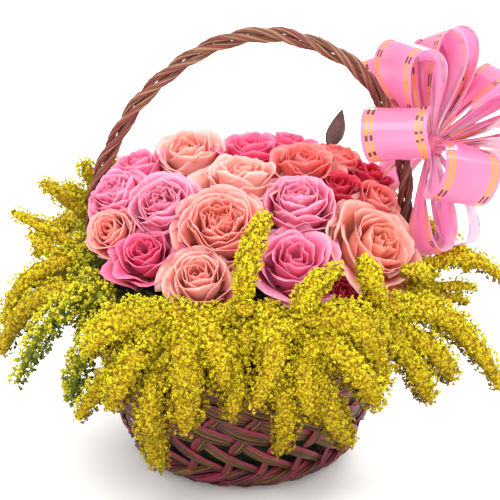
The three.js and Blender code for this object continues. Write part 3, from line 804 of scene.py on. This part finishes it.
def petal_surface(layer, turn, look, rng):
    """The surface of one petal of a rose head of width 1, facing +Z."""
    out = [np.interp(layer, LAYERS, OUTWARDS[:, k]) for k in range(4)]
    up = [np.interp(layer, LAYERS, UPWARDS[:, k]) for k in range(4)]
    span = np.interp(layer, LAYERS, SPANS) * rng.uniform(0.9, 1.1)
    # The more open the rose, the further its petals lean out and the lower their rims hang.
    opened = look["open"]
    out = [a * (1 + (opened - 1) * k / 3) for k, a in enumerate(out)]
    out[3] += 0.05 * (opened - 1) + rng.uniform(-0.015, 0.02)
    up[3] += rng.uniform(-0.02, 0.03) - 0.06 * (opened - 1) * layer
    out = [a * rng.uniform(0.95, 1.05) for a in out]
    # How far the rim's corners are cut back, and how roundly.
    corner = 0.10 + 0.24 * look["point"]
    power = 2.6 - 1.2 * look["point"]
    # Its sides curl back, its lip turns out and its edge is ruffled. Petals near the heart are
    # crumpled, and every petal has one side tucked in behind the next.
    curl = (0.03 + 0.17 * look["curl"] * layer) * rng.uniform(0.6, 1.25)
    lip = (0.015 + 0.08 * look["curl"] * layer ** 1.5) * rng.uniform(0.4, 1.4)
    ruffle = look["ruffle"] * rng.uniform(0.6, 1.4)
    crumple = look["crumple"] * max(0.0, 1 - layer / 0.55)
    tuck = 0.07 if layer > 0.12 else 0.25
    waves = rng.uniform(0, 6.28, 6)
    centre = rng.normal(0, 0.018 * look["crumple"] * (1 - layer), 2)

    def surface(u, v):
        v1 = v * (1 - corner * np.abs(u) ** power)
        claw = 0.3 + 0.7 * np.sin(np.clip(v1 * 1.35, 0, 1) * math.pi / 2)
        r = bezier(*out, v1)
        z = bezier(*up, v1)
        high = ease((v1 - 0.45) / 0.55)
        tip = 0.10 * look["point"] * layer * (1 - np.abs(u)) ** 1.5 * ease((v1 - 0.6) / 0.4)
        roll = curl * high * np.abs(u) ** 2.6 + lip * ease((v1 - 0.75) / 0.25)
        r = r + roll + tip
        z = z - 0.3 * tip - 0.85 * roll - 0.02 * np.abs(u) ** 2 * high
        wobble = (1.3 * np.sin(2.1 * u + waves[3]) + np.sin(4.6 * u + waves[0])
                  + 0.6 * np.sin(8.5 * u + waves[1]))
        r = r + 0.013 * ruffle * high * wobble
        z = z + ruffle * high * (0.010 * np.sin(6.5 * u + waves[2])
                                 + 0.014 * np.sin(2.6 * u + waves[4])
                                 + 0.006 * np.sin(16 * u + waves[5]) * v)
        folds = np.sin(7 * u + waves[5]) + 0.7 * np.sin(12 * u + waves[1])
        r = r + 0.028 * crumple * ease((v1 - 0.2) / 0.6) * folds
        r = r * (1 + tuck * u * (0.4 + 0.6 * v1))
        angle = turn + span * u * claw
        return np.stack([r * np.cos(angle) + centre[0] * v1,
                         r * np.sin(angle) + centre[1] * v1, z], axis=1)

    return surface


def axes_for(facing):
    """Three square directions, the last one along `facing`."""
    third = unit(facing)
    first = unit(np.cross([0.0, 0.0, 1.0] if abs(third[2]) < 0.9 else [0.0, 1.0, 0.0], third))
    return np.stack([first, np.cross(third, first), third])


# cup: a round rose with a spiral heart; full: a garden rose with a crumpled heart; star:
# pointed petals that roll back; bud: half open; wide: blown open, its petals lying back.
LOOKS = {
    "cup": {"petals": 25, "open": 1.0, "point": 0.2, "curl": 0.9, "ruffle": 1.5, "crumple": 0.5},
    "full": {"petals": 30, "open": 1.02, "point": 0.15, "curl": 0.7, "ruffle": 1.7, "crumple": 1.6},
    "star": {"petals": 20, "open": 1.1, "point": 1.0, "curl": 1.5, "ruffle": 1.5, "crumple": 0.8},
    "bud": {"petals": 16, "open": 0.9, "point": 0.6, "curl": 1.0, "ruffle": 1.1, "crumple": 0.3},
    "wide": {"petals": 22, "open": 1.14, "point": 0.5, "curl": 1.2, "ruffle": 1.8, "crumple": 0.9},
}


def leaf(shape, foot, way, up, length, width, slot):
    """A narrow leaf, folded a little along its middle and drooping at its tip."""
    way = unit(way)
    side = unit(np.cross(way, up))
    face = np.cross(side, way)

    def surface(u, v):
        half = width / 2 * np.sin(math.pi * np.clip(0.04 + 0.96 * v, 0, 1)) ** 0.8 * (1.2 - 0.5 * v)
        bend = -0.35 * length * v * v
        fold = 0.25 * half * np.abs(u)
        return (foot + way * (length * v)[:, None] + side * (half * u)[:, None]
                + face * (bend + fold)[:, None])

    points, faces = shaped(leaf_blank, surface, 0.4 * MM)
    shape.add(points, faces, leaf_blank[0][:, :2], 0, slot)


def stem(shape, start, mouth, cut, normal, radius):
    """A stem of this radius in millimetres, from its flower into its hole in the foam."""
    shape.rod(stem_rod, arc(start, mouth, cut, STEM_STEPS + 1), normal, radius, radius, 0, 1)


def rose(number, at, width, tone, look_name, facing, slot_name):
    """One rose: its petals, the green below them, a few leaves, and its stem into the foam."""
    rng = np.random.default_rng(HEAD_SEED + number)
    look = LOOKS[look_name]
    turn = 1.7 * number
    middle = vec(*at)
    facing = unit(facing or middle - vec(5, 0, 130))
    size = width * MM
    axes = axes_for(facing)

    def placed(points):
        return points @ axes * size + middle

    head = Shape()
    for index in range(look["petals"]):
        layer = index / (look["petals"] - 1)
        at_turn = turn + index * GOLDEN_TURN + rng.uniform(-0.25, 0.25)
        surface = petal_surface(layer, at_turn, look, rng)
        points, faces = shaped(petal_blank, surface, PETAL_THICK / width)
        head.add(placed(points), faces, petal_blank[0][:, :2], layer, 0)
    # The green cup below the petals and its five sepals.
    cup, faces = cup_rod
    rings = cup[:, 2:3]
    swell = 0.045 + 0.075 * np.sin(np.clip(rings * 1.2, 0, 1) * math.pi / 2)
    points = np.concatenate([cup[:, :2] * swell, -0.50 + 0.14 * rings], axis=1)
    head.add(placed(points), faces, None, 0, 1)
    for sepal in range(5):
        side = turn + sepal * 2 * math.pi / 5

        def surface(u, v, side=side):
            half = 0.30 * (1 - v) ** 0.7 * (0.5 + v)
            r = 0.10 + 0.30 * v + 0.10 * v * v
            z = -0.40 - 0.02 * v + 0.10 * v * v
            angle = side + half * u / (0.3 + v)
            return np.stack([r * np.cos(angle), r * np.sin(angle), z + 0.03 * u * u], axis=1)

        points, faces = shaped(sepal_blank, surface, SEPAL_THICK / width)
        head.add(placed(points), faces, sepal_blank[0][:, :2], 0, 1)
    # Dark leaves on the stem just below the head fill the gap to the next rose.
    rest = np.random.default_rng(LEAF_SEED + number)
    for index in range(5):
        at_turn = turn + 1.257 * index + rest.uniform(-0.4, 0.4)
        sideways = axes[0] * math.cos(at_turn) + axes[1] * math.sin(at_turn)
        leaf(head, middle - facing * (0.58 + 0.09 * index) * size,
             sideways + facing * rest.uniform(0.05, 0.4), facing,
             rest.uniform(22, 29) * MM, rest.uniform(13, 17) * (1 + 0.12 * index) * MM, 2)
    neck = middle - facing * NECK * size
    mouth, cut = foam_end(middle - facing * 0.4 * size, 0.55)
    stem(head, neck, mouth, cut, facing + 0.01, STEM_RADIUS)
    name = f"rose_{number:02d}"
    head.piece(f"{name}_bloom", [PETALS[tone], SEPAL, ROSE_LEAF], slot_name, name)


# Number, middle of the head and its width in millimetres, colour, look, and for the front
# ones the way that it faces. The others face away from the basket's middle.
ROSES = [
    (1, (-43, 28, 242), 57, "blush", "wide", (-0.15, -0.3, 0.94)),
    (2, (5, 24, 248), 49, "magenta", "star", (0, -0.1, 1)),
    (3, (38, 54, 242), 48, "magenta", "star", (0.1, 0, 1)),
    (4, (49, 0, 243), 50, "salmon", "wide", (0.08, -0.22, 0.97)),
    (5, (76, 32, 237), 46, "salmon", "full", (0.2, -0.05, 0.97)),
    (6, (104, 12, 229), 40, "ruby", "star", (0.5, -0.1, 0.86)),
    (7, (76, -22, 232), 40, "ruby", "bud", (0.1, -0.35, 0.93)),
    (8, (106, -24, 224), 38, "salmon", "bud", (0.5, -0.35, 0.8)),
    (9, (0, -22, 238), 57, "blush", "wide", (0.05, -0.12, 0.99)),
    (10, (43, -48, 228), 53, "light pink", "full", (0.05, -0.38, 0.92)),
    (11, (-84, 16, 237), 44, "pink", "star", (-0.35, -0.15, 0.92)),
    (12, (-98, -20, 226), 45, "pink", "full", (-0.4, -0.35, 0.85)),
    (13, (-61, -42, 224), 53, "light pink", "full", (-0.2, -0.55, 0.81)),
    (14, (-17, -70, 217), 63, "coral", "full", (-0.05, -0.6, 0.8)),
    (15, (-101, -50, 207), 39, "coral", "cup", (-0.35, -0.7, 0.6)),
    (16, (-74, -74, 196), 47, "magenta", "star", (-0.15, -0.5, 0.85)),
    (17, (-32, -104, 187), 52, "blush", "cup", (-0.08, -0.62, 0.78)),
    (18, (39, -92, 196), 61, "pink", "star", (0.1, -0.55, 0.83)),
    (19, (101, -60, 197), 65, "peach", "wide", (0.5, -0.55, 0.62)),
    (20, (76, -90, 172), 34, "ruby", "bud", (0.3, -0.8, 0.5)),
    (21, (-46, 70, 230), 50, "pink", "star"),
    (22, (0, 74, 233), 50, "coral", "cup"),
    (23, (82, 72, 214), 48, "pink", "wide"),
    (24, (-92, 56, 208), 46, "blush", "cup"),
    (25, (-58, 104, 196), 46, "coral", "full"),
    (26, (-12, 112, 202), 50, "magenta", "star"),
    (27, (34, 100, 208), 50, "peach", "wide"),
    (28, (70, 110, 184), 46, "pink", "full"),
    (29, (-88, 88, 172), 42, "magenta", "bud"),
    (30, (-32, 126, 168), 42, "blush", "cup"),
    (31, (20, 130, 170), 44, "pink", "star"),
    (32, (112, 76, 178), 44, "coral", "wide"),
    (33, (118, 38, 200), 42, "light pink", "star"),
]
CORAL_ROSES = (1, 4, 5, 8, 9, 14, 15, 17, 19, 22, 24, 25, 27, 30, 32)

for row in ROSES:
    facing = row[5] if len(row) > 5 else None
    rose(*row[:5], facing, "rose_coral" if row[0] in CORAL_ROSES else "rose_pink")


# ---------- goldenrod ----------

# Each spray: its fork, then its plumes as middle, tip and radius, in millimetres. A
# plume whose fourth value is True is still in bud.
SPRAYS = [
    ((-56, -117, 160), [
        ((-86, -136, 170), (-113, -140, 146), 15), ((-80, -148, 142), (-97, -147, 104), 13),
        ((-92, -131, 132), (-124, -130, 87), 10), ((-67, -146, 108), (-62, -136, 49), 13)]),
    ((-42, -119, 163), [
        ((-40, -150, 142), (-42, -151, 90), 18), ((-20, -150, 158), (-14, -157, 126), 13),
        ((-9, -147, 140), (-9, -146, 96), 13)]),
    ((2, -121, 164), [
        ((24, -148, 156), (10, -152, 108), 14), ((30, -150, 116), (28, -139, 64), 11),
        ((4, -136, 212), (18, -119, 247), 9)]),
    ((45, -124, 158), [
        ((84, -142, 169), (105, -139, 120), 16), ((80, -149, 143), (100, -141, 103), 15),
        ((60, -149, 114), (80, -134, 69), 13), ((46, -152, 126), (55, -147, 96), 12),
        ((47, -139, 190), (72, -135, 211), 9)]),
    ((103, -98, 155), [
        ((152, -97, 157), (203, -85, 91), 12), ((143, -107, 135), (160, -101, 105), 11),
        ((129, -114, 124), (144, -106, 91), 11), ((97, -122, 190), (88, -121, 212), 9)]),
    ((129, -48, 160), [
        ((168, -47, 186), (209, -36, 162), 11), ((166, -42, 160), (186, -36, 156), 7),
        ((163, -26, 146), (185, -20, 137), 6), ((137, -78, 184), (120, -98, 193), 9)]),
    ((-117, -24, 172), [
        ((-149, -22, 196), (-185, -15, 213), 10), ((-149, -36, 186), (-169, -31, 200), 9),
        ((-160, -52, 176), (-191, -50, 132), 12)]),
    ((-112, 30, 182), [
        ((-141, 8, 214), (-162, 5, 233), 10), ((-134, 24, 215), (-150, 22, 220), 9),
        ((-125, 34, 222), (-132, 34, 240), 10), ((-112, 40, 222), (-108, 40, 242), 9)]),
    ((-107, -70, 162), [
        ((-159, -66, 158), (-192, -60, 109), 12), ((-140, -97, 160), (-175, -95, 100), 12, True),
        ((-120, -112, 134), (-132, -106, 90), 10, True)]),
    ((118, 52, 160), [
        ((160, 48, 176), (192, 42, 140), 12), ((144, 84, 158), (164, 102, 112), 12),
        ((150, 20, 140), (166, 14, 98), 11)]),
    ((66, 120, 154), [
        ((96, 142, 156), (118, 152, 106), 13), ((66, 152, 142), (64, 160, 88), 13),
        ((112, 118, 166), (140, 130, 138), 11)]),
    ((-6, 137, 152), [
        ((28, 158, 154), (34, 166, 104), 13), ((-4, 160, 138), (-8, 158, 82), 13),
        ((-28, 154, 160), (-46, 166, 126), 12)]),
    ((-62, 116, 160), [
        ((-74, 150, 152), (-84, 160, 104), 13), ((-104, 132, 160), (-130, 138, 116), 12),
        ((-52, 156, 126), (-48, 154, 78), 12)]),
    ((-112, 66, 162), [
        ((-150, 74, 174), (-182, 80, 140), 12), ((-140, 96, 140), (-160, 104, 94), 12),
        ((-152, 34, 150), (-180, 30, 106), 12)]),
]

TUFTS_PER_AREA = 0.0465      # for each square millimetre of a plume's outside
FRONT = (1, 2, 3, 4, 5)      # sprays that flower most fully
AIRY = (6, 7, 8)             # sprays whose plumes stand apart, thin against the light
LEAFY = (7, 8, 9)            # sprays with more leaves, and buds where they fork
GREENER = {7: 0.2, 8: 0.15, 9: 0.35, 14: 0.25}
FEW_GREEN = 0.04             # share of buds in the sprays that GREENER doesn't name
PLUME_STEPS = 40
STALK_RADIUS = 0.35
# A plume's girth along it, as shares of its length and of its full girth.
SWELL_PLACES = [0, 0.12, 0.35, 0.65, 0.88, 1.0]
SWELL_SHARES = [0.5, 0.75, 1.0, 1.0, 0.72, 0.4]
# A spray's finishes, and which of them each part has.
SPRAY_FINISHES = [FLORET, WEED, YOUNG, CROWDED, ROSE_LEAF]
IN_FLOWER, GREEN, IN_BUD, CROWD, BROAD_LEAF = range(5)


def in_triangles(blank):
    """A blank with its faces cut into triangles."""
    points, faces = blank
    return points, np.array([[face[0], face[i], face[i + 1]] for face in faces
                             for i in range(1, len(face) - 1)])


floret = in_triangles(floret_blank())
stalk = in_triangles(rod_blank(3, 1))
core_rod = rod_blank(10, 20)
axis_rod = rod_blank(5, 12)


def stamped(blank, places, ways, spins, sizes):
    """Many copies of one small shape: each at its place, facing its way."""
    blank_points, blank_faces = blank
    third = unit(ways)
    helper = np.where(np.abs(third[:, 2:3]) < 0.9, [[0.0, 0.0, 1.0]], [[1.0, 0.0, 0.0]])
    first = unit(np.cross(helper, third))
    second = np.cross(third, first)
    cos, sin = np.cos(spins)[:, None], np.sin(spins)[:, None]
    axes = np.stack([first * cos + second * sin, second * cos - first * sin, third], axis=1)
    scaled = blank_points[None] * sizes[:, None, :]
    points = np.einsum("nvk,nkj->nvj", scaled, axes) + places[:, None, :]
    faces = blank_faces[None] + (np.arange(len(places)) * len(blank_points))[:, None, None]
    return points.reshape(-1, 3), faces.reshape(-1, 3)


def tufts_of_florets(shape, rng, centres, ways, sizes, tones, each, spread, green, bud):
    """A tuft of florets at every centre, all over its outer side: `each` is how many, spread
    how far out they go in tuft sizes, green the share still in bud, and bud a bud's size in
    floret sizes."""
    tuft = np.repeat(np.arange(len(centres)), each)
    number = len(tuft)
    ray = unit(ways[tuft] + rng.normal(0, 0.8, (number, 3)))
    outwards = (ray * ways[tuft]).sum(axis=1, keepdims=True)
    stretched = ray + 0.35 * outwards * ways[tuft]
    depth = rng.uniform(0.5, spread, number)
    spots = centres[tuft] + stretched * (sizes[tuft] * depth)[:, None]
    # Painted shade and light: florets deeper in the tuft are darker and those that point up are
    # lighter, with tone that differs at random.
    shade = tones[tuft] + 0.2 * (depth - 0.85) + 0.10 * ray[:, 2] + rng.normal(0, 0.04, number)
    spins = rng.uniform(0, 2 * math.pi, number)
    lean = ray + rng.normal(0, 0.45, (number, 3))
    in_bud = rng.uniform(0, 1, number) < green
    size = rng.uniform(0.75, 1.15, number) * MM
    for chosen, stretch, slot in ((~in_bud, [1, 1, 1], IN_FLOWER), (in_bud, bud, IN_BUD)):
        if chosen.any():
            points, faces = stamped(floret, spots[chosen], lean[chosen], spins[chosen],
                                    size[chosen, None] * stretch)
            shades = np.clip(np.repeat(shade[chosen], len(floret[0])), 0, 1)
            shape.add(points, faces, None, shades, slot)


def plume(shape, rng, fork, middle, tip, radius, young, full, greener):
    """One plume: a stem with short side shoots all round it, each of them ending in a tuft
    of florets, over a core. full is how densely it flowers; a young one is all in bud."""
    line = arc(*(np.asarray(point) * MM for point in (fork, middle, tip)), PLUME_STEPS + 1)
    along = unit(np.gradient(line, axis=0))
    length = np.linalg.norm(np.diff(line, axis=0), axis=1).sum() / MM
    across = along[:, [2, 0, 1]]
    shape.rod(axis_rod, line, across, 0.9, 0.9, 0, GREEN)
    share = np.linspace(0, 1, PLUME_STEPS + 1)
    swell = np.interp(share, SWELL_PLACES, SWELL_SHARES)
    waves = 1 + 0.12 * np.sin(share * length * 0.35 + rng.uniform(0, 6)) * ease(share * 4)
    girth = radius * MM * swell * waves
    # The side that faces up and away from the basket is painted lighter and the other side darker:
    # painted light and shade.
    painted_light_way = unit(unit(np.array([middle[0], middle[1], 0.0])) + 1.4 * UP)
    core = girth * (0.32 if young else 0.72)
    points, faces, uv = swept(core_rod, line, across, core, core)
    nearest = line[np.rint(core_rod[0][:, 2] * PLUME_STEPS).astype(int)]
    # Painted light and shade on the core: lighter on its side towards the light's way, darker on
    # the other.
    lit = unit(points - nearest) @ painted_light_way
    shape.add(points, faces, uv, (0.15 if young else 0.5) + 0.4 * lit, IN_BUD if young else CROWD)
    # A thick stretch carries more shoots than a thin one.
    tufts = int(2 * math.pi * radius * length * TUFTS_PER_AREA * full)
    run = np.concatenate([[0], np.cumsum(girth[1:] + girth[:-1])])
    spaced = (np.arange(tufts) + rng.uniform(0.1, 0.9, tufts)) / tufts
    up_plume = np.interp(spaced, run / run[-1], share)
    spin = np.arange(tufts) * GOLDEN_TURN + rng.normal(0, 0.3, tufts)

    def at(values):
        return np.stack([np.interp(up_plume, share, values[:, k]) for k in range(3)], axis=1)

    starts = at(line)
    ahead = at(along)
    helper = unit(np.cross(ahead, UP + 0.01))
    other = np.cross(helper, ahead)
    away = helper * np.cos(spin)[:, None] + other * np.sin(spin)[:, None]
    # How far out each tuft stands, as a share of the girth.
    if young:
        out = rng.uniform(0.55, 0.98, tufts)
    else:
        out = 0.76 + 0.26 * rng.uniform(0, 1, tufts) ** 1.5
    reach = np.interp(up_plume, share, girth) * out
    centres = starts + away * reach[:, None] + ahead * (reach * 0.4)[:, None]
    ways = unit(away + 0.6 * ahead + 0.2 * UP + rng.normal(0, 0.2, (tufts, 3)))
    fullness = 0.7 + 0.3 * np.interp(up_plume, share, swell)
    sizes = rng.uniform(1.3, 2.3, tufts) * fullness * MM
    # Painted light and shade: a tuft is lighter the further out it stands, the more it faces up and
    # away from the basket, and the nearer it is to the tip. The rest is tone that differs at
    # random.
    tones = (0.5 * out + 0.5 * (ways @ painted_light_way) + 0.08 * up_plume + rng.uniform(-0.1, 0.08)
             + rng.normal(0, 0.03, tufts))
    habit = (7, 1.6, 1.0, [1.15, 1.15, 3.8]) if young else (9, 1.2, greener, [0.65, 0.65, 2.6])
    tufts_of_florets(shape, rng, centres, ways, sizes, tones, *habit)
    # Their stalks show on a young plume; elsewhere a few of them do.
    few = slice(None, None, 1 if young else 6)
    shoots = (centres - starts)[few]
    thin = np.full(len(shoots), STALK_RADIUS * MM)
    lengths = np.linalg.norm(shoots, axis=1)
    points, faces = stamped(stalk, starts[few], shoots, spin[few],
                            np.stack([thin, thin, lengths], axis=1))
    shape.add(points, faces, None, 0, GREEN)


def crown(fork):
    """Short plumes round a fork, which close the collar below the roses."""
    x, y, z = fork
    far = math.hypot(x, y)
    out = np.array([x / far, y / far, 0])
    side = np.array([-y / far, x / far, 0])
    start = np.array(fork, dtype=float)
    rows = []
    # Each tip's way to the side, outwards and up, in millimetres from the fork.
    for way, far_out, rise in ((-27, 9, 2), (27, 9, 2), (0, 15, 10), (0, 21, -24)):
        tip = start + out * far_out + side * way + [0, 0, rise]
        middle = (start + tip) / 2 + out * 6 + [0, 0, 7]
        rows.append((middle, tip, 11.5))
    return rows


def goldenrod(number, fork, plumes):
    """One spray: its plumes, its stem into the foam, and leaves where it leaves the basket."""
    rng = np.random.default_rng(SPRAY_SEED + number)
    spray = Shape()
    greener = GREENER.get(number, FEW_GREEN)
    full = 1.1 if number in FRONT else 0.64
    thinner = 0.8 if number in AIRY else 1
    for middle, tip, radius, *in_bud in plumes:
        plume(spray, rng, fork, middle, tip, radius * thinner, bool(in_bud), full, greener)
    for middle, tip, radius in crown(fork):
        plume(spray, rng, fork, middle, tip, radius, number in LEAFY, full * 0.9, greener)
    start = vec(*fork)
    mouth, cut = foam_end(start, 0.66)
    path = arc(start, mouth, cut, 13)
    spray.rod(axis_rod, path, [0.3, 0.9, 0.2], 1.9, 1.9, 0, GREEN)
    narrow = 22 if number in LEAFY else 12
    broad = 4 if number in FRONT else 20 if number in LEAFY else 14
    for _ in range(narrow):
        foot = path[int(rng.integers(0, 4))]
        way = unit([foot[0], foot[1], 0]) + rng.normal(0, 0.45, 3) + [0, 0, 0.25]
        leaf(spray, foot, way, UP, rng.uniform(16, 30) * MM, rng.uniform(4, 6) * MM, GREEN)
    for _ in range(broad):
        foot = path[int(rng.integers(1, 8))]
        way = unit([-foot[1], foot[0], 0]) * rng.choice([-1, 1]) + rng.normal(0, 0.5, 3)
        leaf(spray, foot, way, UP, rng.uniform(26, 38) * MM, rng.uniform(9, 13) * MM, BROAD_LEAF)
    name = f"goldenrod_{number:02d}"
    spray.piece(f"{name}_spray", SPRAY_FINISHES, "goldenrod", name)


for number, (fork, plumes) in enumerate(SPRAYS, 1):
    goldenrod(number, fork, plumes)


# ---------- dark leaves ----------

# Foot, tip, the way the blade faces, and width, in millimetres.
LEAVES = [
    ((73, 58, 246), (82, 60, 279), (0.5, -0.86, 0.1), 18),
    ((55, -66, 204), (70, -74, 221), (0.1, -0.7, 0.7), 14),
]
BLADE_THICK = 0.5
blade_blank = sheet_blank(8, 14)


def dark_leaf(number, foot, tip, faces_way, width):
    """One stiff leaf that stands up from its foot, with its stem into the foam."""
    sprig = Shape()
    foot = vec(*foot)
    length = np.linalg.norm(vec(*tip) - foot)
    up = unit(vec(*tip) - foot)
    out = unit(np.array(faces_way) - up * np.dot(faces_way, up))
    across = np.cross(up, out)

    def surface(u, v):
        half = width / 2 * MM * np.sin(math.pi * (0.03 + 0.95 * v) ** 0.75)
        return (foot + up * (length * v)[:, None] + across * (half * u)[:, None]
                + out * (0.22 * half * np.abs(u) + 2 * MM * v * v)[:, None])

    points, faces = shaped(blade_blank, surface, BLADE_THICK * MM)
    sprig.add(points, faces, blade_blank[0][:, :2], 0, 0)
    mouth, cut = foam_end(foot, 0.5)
    stem(sprig, foot, mouth, cut, [0.2, 0.9, 0.3], 1.4)
    name = f"leaf_sprig_{number:02d}"
    sprig.piece(f"{name}_leaf", [LEAF, SEPAL], "leaf", name)


for number, row in enumerate(LEAVES, 1):
    dark_leaf(number, *row)


# ---------- bow ----------

BOW_MIDDLE = vec(149, -16, 269)
BOW_CORE = 10.0        # radius of the gathered middle
RIBBON_WIDTH = 50.0
RIBBON_THICK = 0.35
GATHER = 0.30          # share of a loop over which it opens from the middle to its full width
GATHERED = 0.16        # share of its width that is left in the middle
PLEAT = 2.4            # how deep the pleats are in the middle
# Each loop's far end from the middle, the line its width lies along, and how far its
# two sides stand apart, in millimetres.
BOW_LOOPS = [
    ((-35, -44, 25), (0.99, -0.15, 0.06), 38),
    ((-25, -7, 81), (0.48, -0.87, 0.02), 36),
    ((-33, 39, 64), (0.84, -0.42, 0.35), 24),
    ((5, 28, 82), (0.41, -0.84, 0.37), 28),
    ((10, 49, 71), (0.76, 0.61, -0.22), 22),
    ((24, 42, 81), (0.06, -0.92, 0.4), 32),
    ((62, 21, 56), (-0.28, 0.96, -0.01), 18),
    ((65, 9, 32), (0, -0.89, 0.45), 17),
    ((66, 1, 15), (0, -0.88, 0.47), 14),
    ((64, -7, -3), (0, -0.89, 0.45), 10),
    ((23, -52, -19), (0.9, 0.36, -0.24), 44),
    ((0, -39, -77), (0.24, -0.88, 0.41), 23),
    ((28, -17, -77), (-0.33, -0.89, 0.32), 26),
    ((-34, 56, -38), (0.35, 0.6, 0.72), 16),
]

ribbon_blank = sheet_blank(12, 60)


def bow_loop(shape, number, end, across, opened, laid):
    """One loop of the ribbon, after `laid` metres of it. Gives the metres laid by its end."""
    out = vec(*end)
    wide = unit(across)
    rise = unit(np.cross(wide, out)) * opened / 2 * MM
    inside = 0.7 * BOW_CORE * MM / np.linalg.norm(out) / math.pi

    def line_at(v):
        turn = math.pi * (inside + (1 - 2 * inside) * v)[:, None]
        return BOW_MIDDLE + out * np.sin(turn) + rise * np.sin(2 * turn)

    def surface(u, v):
        step = 1e-3
        tangent = unit(line_at(v + step) - line_at(v - step))
        side = unit(wide - (tangent @ wide)[:, None] * tangent)
        face = np.cross(side, tangent)
        spread = GATHERED + (1 - GATHERED) * ease(np.minimum(v, 1 - v) / GATHER)
        pleat = np.cos(u * math.pi * 2.5 + number) * (1 - spread) * PLEAT * MM
        bulge = 0.5 * MM * np.cos(u * math.pi / 2) * spread
        return (line_at(v) + side * (u * spread * RIBBON_WIDTH / 2 * MM)[:, None]
                + face * (pleat + bulge)[:, None])

    checks = line_at(np.linspace(0, 1, 200))
    run = np.linalg.norm(np.diff(checks, axis=0), axis=1).sum()
    points, faces = shaped(ribbon_blank, surface, RIBBON_THICK * MM)
    uv = ribbon_blank[0][:, :2] * [1, run] + [0, laid]
    shape.add(points, faces, uv, ribbon_blank[0][:, 2] > 0, 0)
    return laid + run


bow = Shape()
ribbon_length = 0.0
for number, row in enumerate(BOW_LOOPS):
    ribbon_length = bow_loop(bow, number, *row, ribbon_length)
ribbon = bow.piece("bow_ribbon_loops", [SATIN], "ribbon", "bow_ribbon", crisp=True)

# The tie: a band round the handle, a turn of ribbon round the bow's middle, and the neck
# between them.
TIE_AT = vec(125.5, 0, 264)
TIE_THICK = 0.8
band_blank = sheet_blank(4, 40)


def band(shape, middle, axis, radius, width, swell):
    """A closed band round an axis, its radius, width and swell in millimetres."""
    axes = axes_for(axis)

    def surface(u, v):
        turn = v * 2 * math.pi
        r = radius + swell * (1 - u * u)
        flat = np.stack([r * np.cos(turn), r * np.sin(turn), u * width / 2], axis=1) * MM
        return middle + flat @ axes

    points, faces = shaped(band_blank, surface, TIE_THICK * MM)
    shape.add(points, faces, band_blank[0][:, :2] * [0.5, 0.05], 1, 0)


tie = Shape()
band(tie, TIE_AT, [-0.22, 0, 1.0], 8.0, 7, 0.4)
band(tie, BOW_MIDDLE, [0.2, 0.3, 1.0], 8.5, 15, 1.5)
reach = unit(BOW_MIDDLE - TIE_AT)
path = np.linspace(TIE_AT + reach * 7.8 * MM, BOW_MIDDLE - reach * 5 * MM, STEM_STEPS + 1)
points, faces, uv = swept(stem_rod, path, UP, 2.6 * MM, 2.0 * MM)
tie.add(points, faces, uv * [0.5, 1], 0, 0)
tie.piece("bow_tie_band", [SATIN], "ribbon", "bow_tie")


# ---------- studio ----------

# The floor lies half a millimetre low, so that the basket's underside stays clear of it.
bpy.ops.object.select_all(action="DESELECT")
bpy.ops.mesh.primitive_plane_add(size=12, location=(0, 2, -0.5 * MM))
ground = bpy.context.object
ground.name = "studio_floor"
bpy.ops.object.transform_apply(location=True)
ground_skin, add = finish("pale studio floor")
paint = add("BsdfPrincipled", {"Base Color": "#f4f3f1", "Roughness": 0.8})
add("OutputMaterial", {"Surface": paint})
ground.data.materials.append(ground_skin)
ground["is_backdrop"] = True

# White walls all round light it evenly, and the lamps give the light its direction.
world = bpy.data.worlds.new("studio")
world.use_nodes = True
bpy.context.scene.world = world
back = world.node_tree.nodes["Background"]
back.inputs["Color"].default_value = (1, 1, 1, 1)
back.inputs["Strength"].default_value = 1.45

# Colours come out as they are lit, so that white stays white.
bpy.context.scene.view_settings.view_transform = "Standard"


def lamp(name, place, size, power):
    """A square soft lamp that faces the middle of the basket."""
    bpy.ops.object.light_add(type="AREA", location=place)
    made = bpy.context.object
    made.name = name
    made.data.size = size
    made.data.energy = power
    away = np.array(place) - LOOK_AT
    flat = math.hypot(away[0], away[1])
    made.rotation_euler = (math.atan2(flat, away[2]), 0, math.atan2(away[0], -away[1]))


lamp("key_light", (-0.4, -1.0, 1.6), 0.8, 13)
lamp("fill_light", (0.2, -1.8, 0.5), 1.2, 11)
lamp("side_light", (1.3, -0.3, 1.4), 0.5, 6)
lamp("back_light", (0.5, 1.2, 1.1), 0.9, 24)

low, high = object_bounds()
